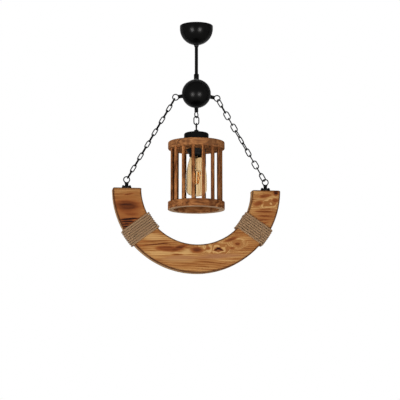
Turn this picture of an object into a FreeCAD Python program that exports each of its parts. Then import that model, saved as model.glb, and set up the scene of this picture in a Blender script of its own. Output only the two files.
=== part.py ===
import FreeCAD, Part
import math
import os
import re
from collections import namedtuple

import Sketcher
from FreeCAD import Placement, Rotation, Vector

# A hanging lamp: a dome at the ceiling, a stem with a ball hub, a wooden half ring on two chains
# and, on one link under the hub, a cage of wooden dowels round a bare bulb.
# The origin is on the ceiling, on the lamp's own axis. Z points up, and the half ring lies in XZ.

doc = FreeCAD.newDocument("cage_pendant")
sheet = doc.addObject("Spreadsheet::Sheet", "Sizes")

SIZES = [
    # Fits
    ("slip_gap", 0.3, "room round a piece that slides or turns"),
    ("thread_gap", 0.1, "room round a piece that is screwed or glued in"),
    ("link_gap", 0.5, "play where two rings hang in each other"),
    # Ceiling bracket and its wiring
    ("bracket_length", 84, "bracket, end to end"),
    ("bracket_width", 24, "bracket, across"),
    ("bracket_thickness", 2, "bracket, sheet"),
    ("bracket_drop", 14, "ceiling to the underside of the bridge"),
    ("bracket_foot", 16, "length of each foot on the ceiling"),
    ("mount_spacing", 66, "between the two ceiling screws"),
    ("mount_hole_radius", 2.5, "hole for a ceiling screw"),
    ("nut_corner_radius", 9.6, "stem nut, over its corners"),
    ("nut_height", 6, "stem nut"),
    ("terminal_length", 14, "terminal block, along its wires"),
    ("terminal_pitch", 7, "between two poles"),
    ("terminal_height", 12, "terminal block, under the bridge"),
    ("terminal_well_radius", 2.1, "well of a terminal screw"),
    ("terminal_wire_radius", 1.6, "way for a wire"),
    # Stem and canopy
    ("stem_radius", 5, "stem tube, outside"),
    ("stem_wall", 1, "stem tube, wall"),
    ("stem_top_drop", 3, "ceiling to the stem's top end"),
    ("stem_tail", 16, "stem inside the hub"),
    ("canopy_radius", 50.6, "canopy, outside"),
    ("canopy_rim", 8.5, "straight rim of the canopy"),
    ("canopy_wall", 1.2, "canopy, sheet"),
    ("collar_top_radius", 7.8, "collar, where it carries the canopy"),
    ("collar_foot_radius", 6, "collar, lower end"),
    ("collar_height", 8, "collar"),
    ("grub_radius", 1.5, "grub screw of the collar"),
    # Hub
    ("hub_drop", 212, "ceiling to the centre of the ball"),
    ("ball_radius", 44.2, "ball, outside"),
    ("ball_wall", 1.5, "ball, sheet"),
    ("ball_top_land", 8.4, "radius of the flat under the coupling"),
    ("ball_eye_land", 7.2, "radius of the flat under an eye"),
    ("coupling_radius", 7.8, "coupling on the stem"),
    ("coupling_length", 17, "coupling on the stem"),
    ("coupling_round", 0.8, "edge of the coupling"),
    ("hub_eye_reach", 65, "ball centre to the centre of a side ring"),
    ("hub_eye_dip", 11.6, "side eyes below the horizontal, degrees"),
    ("bottom_eye_reach", 65.7, "ball centre to the centre of the lower ring"),
    ("bottom_eye_turn", 50, "lower ring, turned about the axis, degrees"),
    # Eyes and links
    ("eye_inner_radius", 7.3, "opening of an eye"),
    ("eye_wire_radius", 1.7, "wire of an eye"),
    ("eye_neck_radius", 6, "neck of an eye, at its ring"),
    ("eye_foot_radius", 6.2, "neck of an eye, at its seat"),
    ("eye_shank_radius", 4, "threaded shank of an eye"),
    ("eye_shank_tail", 9, "shank behind the seat of a hub eye"),
    ("eye_nut_corner_radius", 7.4, "nut of an eye, over its corners"),
    ("eye_nut_height", 5, "nut of an eye"),
    ("link_wire_radius", 1.7, "wire of a link"),
    ("link_inner_length", 22.2, "opening of a link, along the chain"),
    ("link_inner_width", 11.6, "opening of a link, across"),
    ("link_count", 13, "links in each side chain"),
    # Cap and lamp cage
    ("cap_eye_height", 21, "cap to the centre of its ring"),
    ("cap_eye_neck_radius", 2.4, "neck of the cap's eye, at its ring"),
    ("cone_nut_height", 10, "cone nut on the cap"),
    ("cone_nut_side", 7.5, "straight side of the cone nut"),
    ("cone_nut_radius", 7.3, "cone nut, lower end"),
    ("cone_nut_top_radius", 5, "cone nut, upper end"),
    ("cap_radius", 37.5, "cap, outside"),
    ("cap_height", 28.5, "cap"),
    ("cap_wall", 1.5, "cap, sheet"),
    ("cap_round", 6, "upper edge of the cap"),
    ("cage_radius", 86, "wooden disc and ring, outside"),
    ("disc_round", 3, "edges of the wooden disc"),
    ("ring_round", 1.2, "edges of the wooden ring"),
    ("disc_thickness", 22, "wooden disc"),
    ("ring_thickness", 23.5, "wooden ring"),
    ("ring_width", 17.5, "wooden ring, from its outside to its opening"),
    ("slat_count", 15, "dowels"),
    ("slat_radius", 5.2, "dowel"),
    ("slat_length", 161.5, "dowel between its shoulders"),
    ("slat_inset", 12.1, "dowel axes from the outside of the wooden disc"),
    ("slat_start", 255.6, "direction of the first dowel, degrees"),
    ("tenon_radius", 3.5, "tenon on each end of a dowel"),
    ("tenon_length", 10, "tenon on each end of a dowel"),
    # Lamp holder
    ("holder_radius", 22, "holder, outside"),
    ("holder_wall", 2.2, "holder, wall"),
    ("holder_rise", 13, "holder above the wooden disc"),
    ("holder_drop", 22, "holder below the wooden disc"),
    ("holder_plate", 5, "closed upper end of the holder"),
    ("holder_shoulder", 3, "shoulder on the wooden disc, thickness"),
    ("holder_shoulder_reach", 4, "shoulder on the wooden disc, beyond the holder"),
    ("clamp_ring_radius", 29, "clamp ring under the wooden disc"),
    ("clamp_ring_height", 11, "clamp ring under the wooden disc"),
    ("clamp_ring_edge", 4, "straight edge of the clamp ring"),
    ("clamp_ring_foot", 25.5, "clamp ring, lower radius"),
    ("insert_thickness", 10, "insert that carries the contacts"),
    ("contact_radius", 4, "centre contact"),
    ("contact_height", 2.5, "centre contact"),
    ("screw_shell_wall", 0.6, "screw shell of the holder"),
    ("screw_shell_length", 33, "screw shell of the holder"),
    # Bulb
    ("bulb_cap_radius", 13.1, "screw cap of the bulb"),
    ("bulb_cap_wall", 0.5, "screw cap of the bulb, sheet"),
    ("bulb_cap_length", 28, "screw cap of the bulb"),
    ("bulb_cap_cone", 5, "cone above the screw thread"),
    ("bulb_tip_radius", 5, "contact on the cap"),
    ("bulb_tip_height", 2, "contact on the cap"),
    ("glass_wall", 1, "bulb glass"),
    ("glass_neck_radius", 19.4, "bulb glass, below the holder"),
    ("glass_shoulder", 11, "cap to the neck of the glass"),
    ("glass_radius", 32, "bulb glass, widest"),
    ("glass_flare", 72, "neck to the widest part"),
    ("glass_side", 26, "straight side of the glass"),
    ("glass_corner_radius", 20, "lower corner of the glass"),
    ("glass_crown_angle", 65, "end of the lower corner, degrees below horizontal"),
    ("lamp_stem_radius", 2.6, "glass stem in the bulb"),
    ("lamp_stem_length", 52, "glass stem in the bulb"),
    ("lamp_stem_flare", 2, "disc at the top of the glass stem"),
    ("filament_count", 6, "filament sticks"),
    ("filament_radius", 0.9, "filament stick"),
    ("filament_top_circle", 14, "upper ends from the axis"),
    ("filament_foot_circle", 5.5, "lower ends from the axis"),
    ("filament_drop", 42, "height of the filament cone"),
    ("filament_wire_radius", 0.5, "wires that carry the filaments"),
    # Half ring
    ("crescent_outer_radius", 254, "half ring, outside"),
    ("crescent_inner_radius", 168, "half ring, inside"),
    ("crescent_thickness", 40, "half ring, front to back"),
    ("crescent_round", 3, "edges of the half ring"),
    ("crescent_corner", 5, "corners at the ends of the half ring"),
    ("crescent_eye_height", 26.6, "end of the half ring to the centre of its ring"),
    ("crescent_shank", 26, "shank of an eye in the wood"),
    ("rosette_radius", 14.5, "plate under an eye"),
    ("rosette_height", 6.5, "plate under an eye"),
    ("rosette_round", 1.5, "upper edge of the plate"),
    ("rosette_screw_reach", 10, "plate screws from the eye"),
    ("screw_head_radius", 3.4, "plate screw, head"),
    ("screw_head_height", 3.4, "plate screw, head"),
    ("screw_shank_radius", 1.7, "plate screw, shank"),
    ("screw_length", 18, "plate screw under its head"),
    # Rope
    ("rope_radius", 3.35, "rope"),
    ("rope_pitch", 7, "between two turns"),
    ("rope_turns", 8, "turns in each wrap"),
    ("left_rope_angle", 36.2, "middle of the left wrap below the horizontal, degrees"),
    ("right_rope_angle", 34.3, "middle of the right wrap below the horizontal, degrees"),
    ("rope_crown_angle", 60, "round part of a turn, each side of its crown, degrees"),
]

for row, (alias, number, words) in enumerate(SIZES, start=1):
    sheet.set(f"A{row}", words)
    sheet.set(f"B{row}", str(number))
    sheet.setAlias(f"B{row}", alias)
doc.recompute()

ALIASES = re.compile(r"\b(" + "|".join(alias for alias, _, _ in SIZES) + r")\b")

# Levels and places that several pieces share, as expressions on the sheet
BRIDGE_TOP = "(bracket_thickness - bracket_drop)"
DOME_LAND = "(-canopy_rim - sqrt(canopy_radius^2 - collar_top_radius^2))"
HUB_Z = "(-hub_drop)"
BALL_TOP = f"({HUB_Z} + sqrt(ball_radius^2 - ball_top_land^2))"
BALL_INSIDE = "(ball_radius - ball_wall)"
EYE_LAND = "sqrt(ball_radius^2 - ball_eye_land^2)"
SIDE_EYE_X = "(hub_eye_reach * cos(hub_eye_dip))"
SIDE_EYE_Z = f"({HUB_Z} - hub_eye_reach * sin(hub_eye_dip))"
BOTTOM_EYE_Z = f"({HUB_Z} - bottom_eye_reach)"
EYE_RADIUS = "(eye_inner_radius + eye_wire_radius)"
LINK_STEP = "(link_inner_length - link_gap)"
LINK_SIDE = "(link_inner_width / 2 + link_wire_radius)"
LINK_STRAIGHT = "(link_inner_length - link_inner_width)"
FIRST_LINK = "(eye_inner_radius - link_gap + link_inner_length / 2)"
CAP_EYE_Z = f"({BOTTOM_EYE_Z} - 2 * {FIRST_LINK})"
CAP_TOP = f"({CAP_EYE_Z} - cap_eye_height)"
DISC_TOP = f"({CAP_TOP} - cap_height)"
DISC_BOTTOM = f"({DISC_TOP} - disc_thickness)"
RING_TOP = f"({DISC_BOTTOM} - slat_length)"
RING_BOTTOM = f"({RING_TOP} - ring_thickness)"
SLAT_CIRCLE = "(cage_radius - slat_inset)"
HOLDER_TOP = f"({DISC_TOP} + holder_rise)"
HOLDER_BOTTOM = f"({DISC_BOTTOM} - holder_drop)"
HOLDER_INSIDE = "(holder_radius - holder_wall)"
INSERT_TOP = f"({HOLDER_TOP} - holder_plate)"
INSERT_BOTTOM = f"({INSERT_TOP} - insert_thickness)"
TIP_TOP = f"({INSERT_BOTTOM} - contact_height - slip_gap)"
BULB_CAP_TOP = f"({TIP_TOP} - bulb_tip_height)"
GLASS_TOP = f"({BULB_CAP_TOP} - bulb_cap_length)"
GLASS_NECK = f"({GLASS_TOP} - glass_shoulder)"
GLASS_BELLY = f"({GLASS_NECK} - glass_flare)"
GLASS_CORNER = f"({GLASS_BELLY} - glass_side)"
STEM_END = f"({GLASS_TOP} - lamp_stem_length)"
FILAMENT_FOOT = f"({STEM_END} - filament_drop)"
CRESCENT_MIDDLE = "((crescent_outer_radius + crescent_inner_radius) / 2)"
CHAIN_SPAN = f"(2 * {FIRST_LINK} + (link_count - 1) * {LINK_STEP})"
CHAIN_RUN = f"({CRESCENT_MIDDLE} - {SIDE_EYE_X})"
CHAIN_DROP = f"sqrt({CHAIN_SPAN}^2 - {CHAIN_RUN}^2)"
CRESCENT_EYE_Z = f"({SIDE_EYE_Z} - {CHAIN_DROP})"
CRESCENT_TOP = f"({CRESCENT_EYE_Z} - crescent_eye_height)"

X_AXIS, Y_AXIS, Z_AXIS = Vector(1, 0, 0), Vector(0, 1, 0), Vector(0, 0, 1)
SIDES = {"left": -1, "right": 1}

# Kinds of corner in an outline: a plain one, a rounded one between two sides along the axes,
# and one that is reached by an arc whose centre lies on the given side of the way.
Corner = namedtuple("Corner", "u v")
Rounded = namedtuple("Rounded", "u v radius")
ArcTo = namedtuple("ArcTo", "u v radius side")

nodes = []


def value(expression):
    """The number that an expression on the sheet comes to."""
    return float(sheet.evalExpression(str(expression)))


def bind(thing, prop, expression):
    """Ties a property to the sheet."""
    thing.setExpression(prop, ALIASES.sub(r"Sizes.\1", str(expression)))


def node(thing, label):
    """Names a finished piece and puts it on the list."""
    thing.Label = label
    nodes.append(thing)
    return thing


def place(thing, x="0", y="0", z="0", rotation=None):
    """Puts a piece in its place, with the place tied to the sheet."""
    if rotation is not None:
        thing.Placement = Placement(Vector(), rotation)
    for axis, expression in zip("xyz", (x, y, z)):
        bind(thing, f"Placement.Base.{axis}", expression)
    return thing


def primitive(kind, name, x="0", y="0", z="0", rotation=None, **sizes):
    """A basic solid with its sizes and its place tied to the sheet."""
    thing = doc.addObject(f"Part::{kind}", name)
    for prop, expression in sizes.items():
        bind(thing, prop, expression)
    return place(thing, x, y, z, rotation)


def cylinder(name, radius, height, x="0", y="0", z="0", rotation=None):
    return primitive("Cylinder", name, x, y, z, rotation, Radius=radius, Height=height)


def compound(name, pieces):
    thing = doc.addObject("Part::Compound", name)
    thing.Links = pieces
    return thing


def fuse(name, pieces):
    thing = doc.addObject("Part::MultiFuse", name)
    thing.Shapes = pieces
    return thing


def cut(name, base, tools):
    thing = doc.addObject("Part::Cut", name)
    thing.Base = base
    thing.Tool = tools[0] if len(tools) == 1 else compound(f"{name}_tools", tools)
    return thing


def hex_nut(name, corner_radius, bore, height, rotation=None, **at):
    """A hexagon nut that stands on its place, along its own Z."""
    body = primitive("Prism", f"{name}_body", Circumradius=corner_radius, Height=height)
    hole = cylinder(f"{name}_hole", bore, height)
    return place(cut(name, body, [hole]), rotation=rotation, **at)


def toward(here, there, length):
    """The point on a side along an axis, a length from one corner toward another."""
    if abs(value(here.u) - value(there.u)) < 1e-9:
        sign = "+" if value(there.v) > value(here.v) else "-"
        return here.u, f"({here.v} {sign} {length})"
    sign = "+" if value(there.u) > value(here.u) else "-"
    return f"({here.u} {sign} {length})", here.v


def outline_points(corners):
    """The outline's points, each with the radius and side of the arc that reaches it."""
    points = []
    for i, corner in enumerate(corners):
        before, after = corners[i - 1], corners[(i + 1) % len(corners)]
        if isinstance(corner, Rounded):
            first = toward(corner, before, corner.radius)
            second = toward(corner, after, corner.radius)
            into = Vector(value(corner.u) - value(before.u), value(corner.v) - value(before.v), 0)
            out = Vector(value(after.u) - value(corner.u), value(after.v) - value(corner.v), 0)
            side = "left" if into.cross(out).z > 0 else "right"
            points.append((*first, None, None))
            points.append((*second, corner.radius, side))
        elif isinstance(corner, ArcTo):
            points.append((corner.u, corner.v, corner.radius, corner.side))
        else:
            points.append((corner.u, corner.v, None, None))
    return points


def arc_between(start, end, radius, side):
    """The shorter arc from start to end, as a sketch draws it: counter-clockwise."""
    chord = end - start
    normal = Vector(-chord.y, chord.x, 0).normalize()
    if side == "right":
        normal = -normal
    height = math.sqrt(max(radius**2 - (chord.Length / 2) ** 2, 0))
    centre = (start + end) / 2 + normal * height
    first, last = (start, end) if side == "left" else (end, start)
    angles = [math.atan2(p.y - centre.y, p.x - centre.x) for p in (first, last)]
    return Part.ArcOfCircle(Part.Circle(centre, Z_AXIS, radius), *angles)


def draw_outline(sketch, corners):
    """Draws a closed outline whose points and radii are tied to the sheet."""
    points = outline_points(corners)
    flat = [Vector(value(u), value(v), 0) for u, v, _, _ in points]
    edges = []
    for i, start in enumerate(flat):
        j = (i + 1) % len(flat)
        radius, side = points[j][2:]
        if radius is None:
            edges.append((sketch.addGeometry(Part.LineSegment(start, flat[j])), 1, 2))
            continue
        edge = sketch.addGeometry(arc_between(start, flat[j], value(radius), side))
        edges.append((edge, 1, 2) if side == "left" else (edge, 2, 1))
    for i, (edge, start, _) in enumerate(edges):
        before, _, end = edges[i - 1]
        sketch.addConstraint(Sketcher.Constraint("Coincident", before, end, edge, start))
        hold(sketch, "DistanceX", f"across{i}", points[i][0], -1, 1, edge, start)
        hold(sketch, "DistanceY", f"up{i}", points[i][1], -1, 1, edge, start)
        radius = points[(i + 1) % len(points)][2]
        if radius is not None:
            hold(sketch, "Radius", f"arc{i}", radius, edge)


def hold(sketch, kind, name, expression, *where):
    """A dimension of a sketch, tied to the sheet."""
    index = sketch.addConstraint(Sketcher.Constraint(kind, *where, value(expression)))
    sketch.renameConstraint(index, name)
    bind(sketch, f"Constraints.{name}", expression)


def new_body(name):
    return doc.addObject("PartDesign::Body", name)


def new_sketch(body, name, role, height=None):
    """A sketch on one of the body's own planes, or at a height over it."""
    sketch = body.newObject("Sketcher::SketchObject", name)
    plane = next(f for f in body.Origin.OriginFeatures if f.Role == role)
    sketch.AttachmentSupport = [(plane, "")]
    sketch.MapMode = "FlatFace"
    if height is not None:
        bind(sketch, "AttachmentOffset.Base.z", height)
    return sketch


def draw_circles(sketch, circles):
    """Circles, each as (across, up, radius), tied to the sheet."""
    for i, (across, up, radius) in enumerate(circles):
        centre = Vector(value(across), value(up), 0)
        edge = sketch.addGeometry(Part.Circle(centre, Z_AXIS, value(radius)))
        hold(sketch, "DistanceX", f"across{i}", across, -1, 1, edge, 3)
        hold(sketch, "DistanceY", f"up{i}", up, -1, 1, edge, 3)
        hold(sketch, "Radius", f"radius{i}", radius, edge)


def turned(name, corners):
    """A body turned about Z from an outline of radii and heights."""
    body = new_body(name)
    sketch = new_sketch(body, f"{name}_outline", "XZ_Plane")
    draw_outline(sketch, corners)
    doc.recompute()
    turn = body.newObject("PartDesign::Revolution", f"{name}_turn")
    turn.Profile = sketch
    turn.ReferenceAxis = (sketch, ["V_Axis"])
    turn.Angle = 360
    doc.recompute()
    return body


def pocket(body, name, height, depth, circles):
    """Round holes from a height downward, and a check that they really cut."""
    before = body.Shape.Volume
    sketch = new_sketch(body, f"{name}_outline", "XY_Plane", height)
    draw_circles(sketch, circles)
    doc.recompute()
    hole = body.newObject("PartDesign::Pocket", name)
    hole.Profile = sketch
    bind(hole, "Length", depth)
    doc.recompute()
    assert body.Shape.Volume < before, f"{name} cuts nothing"
    return hole


def tube(name, inner, outer, low, high):
    corners = [(inner, low), (outer, low), (outer, high), (inner, high)]
    return turned(name, [Corner(*corner) for corner in corners])


# Ceiling bracket, stem and canopy


def ceiling_bracket():
    """A bent strip: two feet on the ceiling, and a bridge under them that carries the stem."""
    half = "bracket_length / 2"
    leg = f"({half} - bracket_foot)"
    outer_leg = f"({leg} + bracket_thickness)"
    body = new_body("bracket")
    sketch = new_sketch(body, "bracket_outline", "XZ_Plane")
    draw_outline(
        sketch,
        [
            Corner(f"-{half}", "0"),
            Corner(f"-{half}", "-bracket_thickness"),
            Corner(f"-{outer_leg}", "-bracket_thickness"),
            Corner(f"-{outer_leg}", "-bracket_drop"),
            Corner(outer_leg, "-bracket_drop"),
            Corner(outer_leg, "-bracket_thickness"),
            Corner(half, "-bracket_thickness"),
            Corner(half, "0"),
            Corner(leg, "0"),
            Corner(leg, BRIDGE_TOP),
            Corner(f"-{leg}", BRIDGE_TOP),
            Corner(f"-{leg}", "0"),
        ],
    )
    doc.recompute()
    pad = body.newObject("PartDesign::Pad", "bracket_pad")
    pad.Profile = sketch
    pad.Midplane = True
    bind(pad, "Length", "bracket_width")
    doc.recompute()
    screw = "mount_spacing / 2"
    pocket(
        body,
        "bracket_holes",
        "0",
        "bracket_drop + bracket_thickness",
        [
            (f"-{screw}", "0", "mount_hole_radius"),
            (screw, "0", "mount_hole_radius"),
            ("0", "0", "stem_radius + thread_gap"),
        ],
    )
    node(body, "ceiling_bracket")


def stem():
    """The tube that everything hangs from, with a nut on each side of the bridge and one in the hub."""
    end = f"{BALL_TOP} - stem_tail"
    node(tube("stem_tube", "stem_radius - stem_wall", "stem_radius", end, "-stem_top_drop"), "stem")
    bore = "stem_radius + thread_gap"
    inside = f"({HUB_Z} + sqrt({BALL_INSIDE}^2 - nut_corner_radius^2) - thread_gap)"
    feet = {"upper": BRIDGE_TOP, "lower": "-bracket_drop - nut_height", "hub": f"{inside} - nut_height"}
    nuts = []
    for name, foot in feet.items():
        nuts.append(hex_nut(f"{name}_stem_nut", "nut_corner_radius", bore, "nut_height", z=foot))
    node(compound("stem_nut_group", nuts), "stem_nuts")


def terminal_block():
    """Three poles under the bridge, each with a way for a wire and two screws in wells."""
    start = "(nut_corner_radius + terminal_well_radius)"
    foot = "(-bracket_drop - terminal_height)"
    well_depth = "terminal_height / 2"
    block = primitive(
        "Box",
        "terminal_body",
        x=start,
        y="-terminal_pitch * 3 / 2",
        z=foot,
        Length="terminal_length",
        Width="terminal_pitch * 3",
        Height="terminal_height",
    )
    along_x = Rotation(Y_AXIS, 90)
    ways, wells, screws = [], [], []
    for pole in (-1, 0, 1):
        y = f"{pole} * terminal_pitch"
        way_z = f"{foot} + {well_depth}"
        bore = {"radius": "terminal_wire_radius", "height": "terminal_length"}
        ways.append(cylinder("wire_way", **bore, x=start, y=y, z=way_z, rotation=along_x))
        for share in (1, 3):
            x = f"{start} + terminal_length * {share} / 4"
            wells.append(cylinder("screw_well", "terminal_well_radius", well_depth, x, y, foot))
            screw = {"radius": "terminal_well_radius - thread_gap", "height": f"{well_depth} * 4 / 5"}
            screws.append(cylinder("terminal_screw", **screw, x=x, y=y, z=f"{foot} + {well_depth} / 5"))
    node(cut("terminal_cut", block, ways + wells), "terminal_block")
    node(compound("terminal_screw_group", screws), "terminal_screws")


def canopy():
    """A deep dome on a tapered collar, which a grub screw holds on the stem."""
    inner = "(canopy_radius - canopy_wall)"
    hole = "(stem_radius + slip_gap)"
    inner_land = f"({DOME_LAND} + canopy_wall)"
    inner_land_radius = f"sqrt({inner}^2 - ({inner_land} + canopy_rim)^2)"
    dome = turned(
        "dome",
        [
            Corner(inner, "0"),
            Corner(inner, "-canopy_rim"),
            ArcTo(inner_land_radius, inner_land, inner, "right"),
            Corner(hole, inner_land),
            Corner(hole, DOME_LAND),
            Corner("collar_top_radius", DOME_LAND),
            ArcTo("canopy_radius", "-canopy_rim", "canopy_radius", "left"),
            Corner("canopy_radius", "0"),
        ],
    )
    node(dome, "canopy_dome")
    foot = f"({DOME_LAND} - collar_height)"
    cone = primitive(
        "Cone",
        "collar_cone",
        z=foot,
        Radius1="collar_foot_radius",
        Radius2="collar_top_radius",
        Height="collar_height",
    )
    bore = cylinder("collar_bore", hole, "collar_height", z=foot)
    backward = {"z": f"{DOME_LAND} - collar_height / 3", "rotation": Rotation(X_AXIS, -90)}
    way = cylinder("grub_way", "grub_radius + thread_gap", "collar_top_radius", **backward)
    node(cut("collar_cut", cone, [bore, way]), "canopy_collar")
    length = f"(collar_foot_radius - {hole} + slip_gap / 2)"
    grub = cylinder("grub", "grub_radius", length, y=f"{hole} - slip_gap / 2", **backward)
    node(grub, "collar_grub_screw")


# Hub: coupling, ball and three eyes


def eye(name, seat, tail, rotation, neck=("eye_neck_radius", "eye_foot_radius"), **at):
    """A ring on a tapered neck with a threaded shank, placed by the ring's centre, neck down."""
    ring = primitive(
        "Torus",
        f"{name}_ring",
        rotation=Rotation(X_AXIS, 90),
        Radius1=EYE_RADIUS,
        Radius2="eye_wire_radius",
    )
    narrow, wide = neck
    cone = primitive(
        "Cone",
        f"{name}_neck",
        z=f"-{seat}",
        Radius1=wide,
        Radius2=narrow,
        Height=f"{seat} - {EYE_RADIUS}",
    )
    shank = cylinder(f"{name}_shank", "eye_shank_radius", tail, z=f"-{seat} - {tail}")
    return place(fuse(name, [ring, cone, shank]), rotation=rotation, **at)


def hub():
    """The coupling on the stem, and the hollow ball with flats under the coupling and the eyes."""
    bore = "(stem_radius + thread_gap)"
    top = f"({BALL_TOP} + coupling_length)"
    coupling = turned(
        "coupling",
        [
            Corner(bore, BALL_TOP),
            Rounded("coupling_radius", BALL_TOP, "coupling_round"),
            Rounded("coupling_radius", top, "coupling_round"),
            Corner(bore, top),
        ],
    )
    node(coupling, "hub_coupling")
    way = "(eye_shank_radius + thread_gap)"
    shell = turned(
        "ball_shell",
        [
            Corner(bore, BALL_TOP),
            Corner(bore, f"{HUB_Z} + sqrt({BALL_INSIDE}^2 - {bore}^2)"),
            ArcTo(BALL_INSIDE, HUB_Z, BALL_INSIDE, "right"),
            ArcTo(way, f"{HUB_Z} - sqrt({BALL_INSIDE}^2 - {way}^2)", BALL_INSIDE, "right"),
            Corner(way, f"{HUB_Z} - {EYE_LAND}"),
            Corner("ball_eye_land", f"{HUB_Z} - {EYE_LAND}"),
            ArcTo("ball_radius", HUB_Z, "ball_radius", "left"),
            ArcTo("ball_top_land", BALL_TOP, "ball_radius", "left"),
        ],
    )
    tools, nuts = [], []
    nut_sizes = ("eye_nut_corner_radius", way, "eye_nut_height")
    nut_seat = f"(sqrt({BALL_INSIDE}^2 - eye_nut_corner_radius^2) - thread_gap)"
    for side, sign in SIDES.items():
        out = Rotation(Y_AXIS, sign * (90 + value("hub_eye_dip")))
        across, up = f"{sign} * cos(hub_eye_dip)", "sin(hub_eye_dip)"
        flat = {"x": f"{EYE_LAND} * {across}", "z": f"{HUB_Z} - {EYE_LAND} * {up}"}
        tools.append(cylinder(f"{side}_flat", "ball_eye_land", "ball_wall", rotation=out, **flat))
        tools.append(cylinder(f"{side}_way", way, "ball_radius", z=HUB_Z, rotation=out))
        foot = f"({nut_seat} - eye_nut_height)"
        nut_at = {"x": f"{foot} * {across}", "z": f"{HUB_Z} - {foot} * {up}"}
        nuts.append(hex_nut(f"{side}_eye_nut", *nut_sizes, out, **nut_at))
        ring_at = {"x": f"{sign} * {SIDE_EYE_X}", "z": SIDE_EYE_Z}
        inward = Rotation(Y_AXIS, sign * (value("hub_eye_dip") + 90))
        made = eye(f"{side}_eye", f"(hub_eye_reach - {EYE_LAND})", "eye_shank_tail", inward, **ring_at)
        node(made, f"{side}_hub_eye")
    node(cut("ball_cut", shell, tools), "hub_ball")
    upside_down = Rotation(Z_AXIS, value("bottom_eye_turn")) * Rotation(X_AXIS, 180)
    seat = f"(bottom_eye_reach - {EYE_LAND})"
    made = eye("bottom_eye", seat, "eye_shank_tail", upside_down, z=BOTTOM_EYE_Z)
    node(made, "bottom_hub_eye")
    nuts.append(hex_nut("bottom_eye_nut", *nut_sizes, z=f"{HUB_Z} - {nut_seat}"))
    node(compound("eye_nut_group", nuts), "hub_eye_nuts")


# Links and chains


def link():
    """One welded link that stands along Z in XZ: two bends and two straight legs."""
    pieces = []
    for name, sign, angle in (("upper", 1, 90), ("lower", -1, -90)):
        bend = primitive(
            "Torus",
            f"{name}_bend",
            z=f"{sign} * {LINK_STRAIGHT} / 2",
            rotation=Rotation(X_AXIS, angle),
            Radius1=LINK_SIDE,
            Radius2="link_wire_radius",
            Angle3="180",
        )
        pieces.append(bend)
    for name, sign in SIDES.items():
        at = {"x": f"{sign} * {LINK_SIDE}", "z": f"-{LINK_STRAIGHT} / 2"}
        pieces.append(cylinder(f"{name}_leg", "link_wire_radius", LINK_STRAIGHT, **at))
    made = fuse("link", pieces)
    doc.recompute()
    return made


def side_chain_link(shape, sign, index, twist):
    """A copy of the link in its place on a side chain, twisted about the chain from edge-on."""
    slope = math.atan2(value(CHAIN_RUN), value(CHAIN_DROP))
    along = Vector(sign * math.sin(slope), 0, -math.cos(slope))
    start = Vector(sign * value(SIDE_EYE_X), 0, value(SIDE_EYE_Z))
    lean = Rotation(Y_AXIS, -sign * math.degrees(slope))
    centre = start + along * (value(FIRST_LINK) + index * value(LINK_STEP))
    copy = shape.copy()
    copy.Placement = Placement(centre, lean * Rotation(Z_AXIS, 90 + twist))
    return copy


def left_twist(index):
    """Every second link of the left chain is nearly edge-on from the front, the others are narrow."""
    return 41 if index % 2 else -9


def right_twist(index):
    """The right chain is wound up a little: its links turn wide, narrow and wide again on the way down."""
    if index % 2:
        return {1: -21, 5: -31, 7: -31}.get(index, -14)
    last = int(value("link_count")) - 1
    return {0: 29, 4: 62, 6: 19, 8: 37, last: 40}.get(index, 76)


def chains():
    """Two side chains, each with its top link apart, and the one link over the cage."""
    pattern = link()
    count = int(value("link_count"))
    for side, twist in (("left", left_twist), ("right", right_twist)):
        links = [side_chain_link(pattern.Shape, SIDES[side], i, twist(i)) for i in range(count)]
        top = doc.addObject("Part::Feature", f"{side}_first")
        top.Shape = links[0]
        node(top, f"{side}_top_link")
        rest = doc.addObject("Part::Feature", f"{side}_links")
        rest.Shape = Part.Compound(links[1:])
        node(rest, f"{side}_chain")
    node(place(pattern, z=f"{BOTTOM_EYE_Z} - {FIRST_LINK}"), "centre_link")


# Cap and cage


def cap():
    """The eye over the cage: its long shank runs through a cone nut and the cap into the lamp holder."""
    seat = "(cap_eye_height - cone_nut_height)"
    tail = f"({CAP_EYE_Z} - {seat} - {INSERT_TOP})"
    neck = ("cap_eye_neck_radius", "eye_shank_radius")
    node(eye("cap_ring", seat, tail, Rotation(Z_AXIS, 90), neck, z=CAP_EYE_Z), "cap_eye")
    bore = "(eye_shank_radius + thread_gap)"
    nut_top = f"({CAP_TOP} + cone_nut_height)"
    cone = turned(
        "cone_nut",
        [
            Corner(bore, CAP_TOP),
            Corner("cone_nut_radius", CAP_TOP),
            Corner("cone_nut_radius", f"{CAP_TOP} + cone_nut_side"),
            Corner("cone_nut_top_radius", nut_top),
            Corner(bore, nut_top),
        ],
    )
    node(cone, "cap_cone_nut")
    inner = "(cap_radius - cap_wall)"
    ceiling = f"({CAP_TOP} - cap_wall)"
    cup = turned(
        "cap_cup",
        [
            Corner(bore, CAP_TOP),
            Corner(bore, ceiling),
            Rounded(inner, ceiling, "(cap_round - cap_wall)"),
            Corner(inner, DISC_TOP),
            Corner("cap_radius", DISC_TOP),
            Rounded("cap_radius", CAP_TOP, "cap_round"),
        ],
    )
    node(cup, "shade_cap")
    nut_z = f"{ceiling} - eye_nut_height"
    node(hex_nut("lock_nut", "eye_nut_corner_radius", bore, "eye_nut_height", z=nut_z), "cap_lock_nut")


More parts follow.
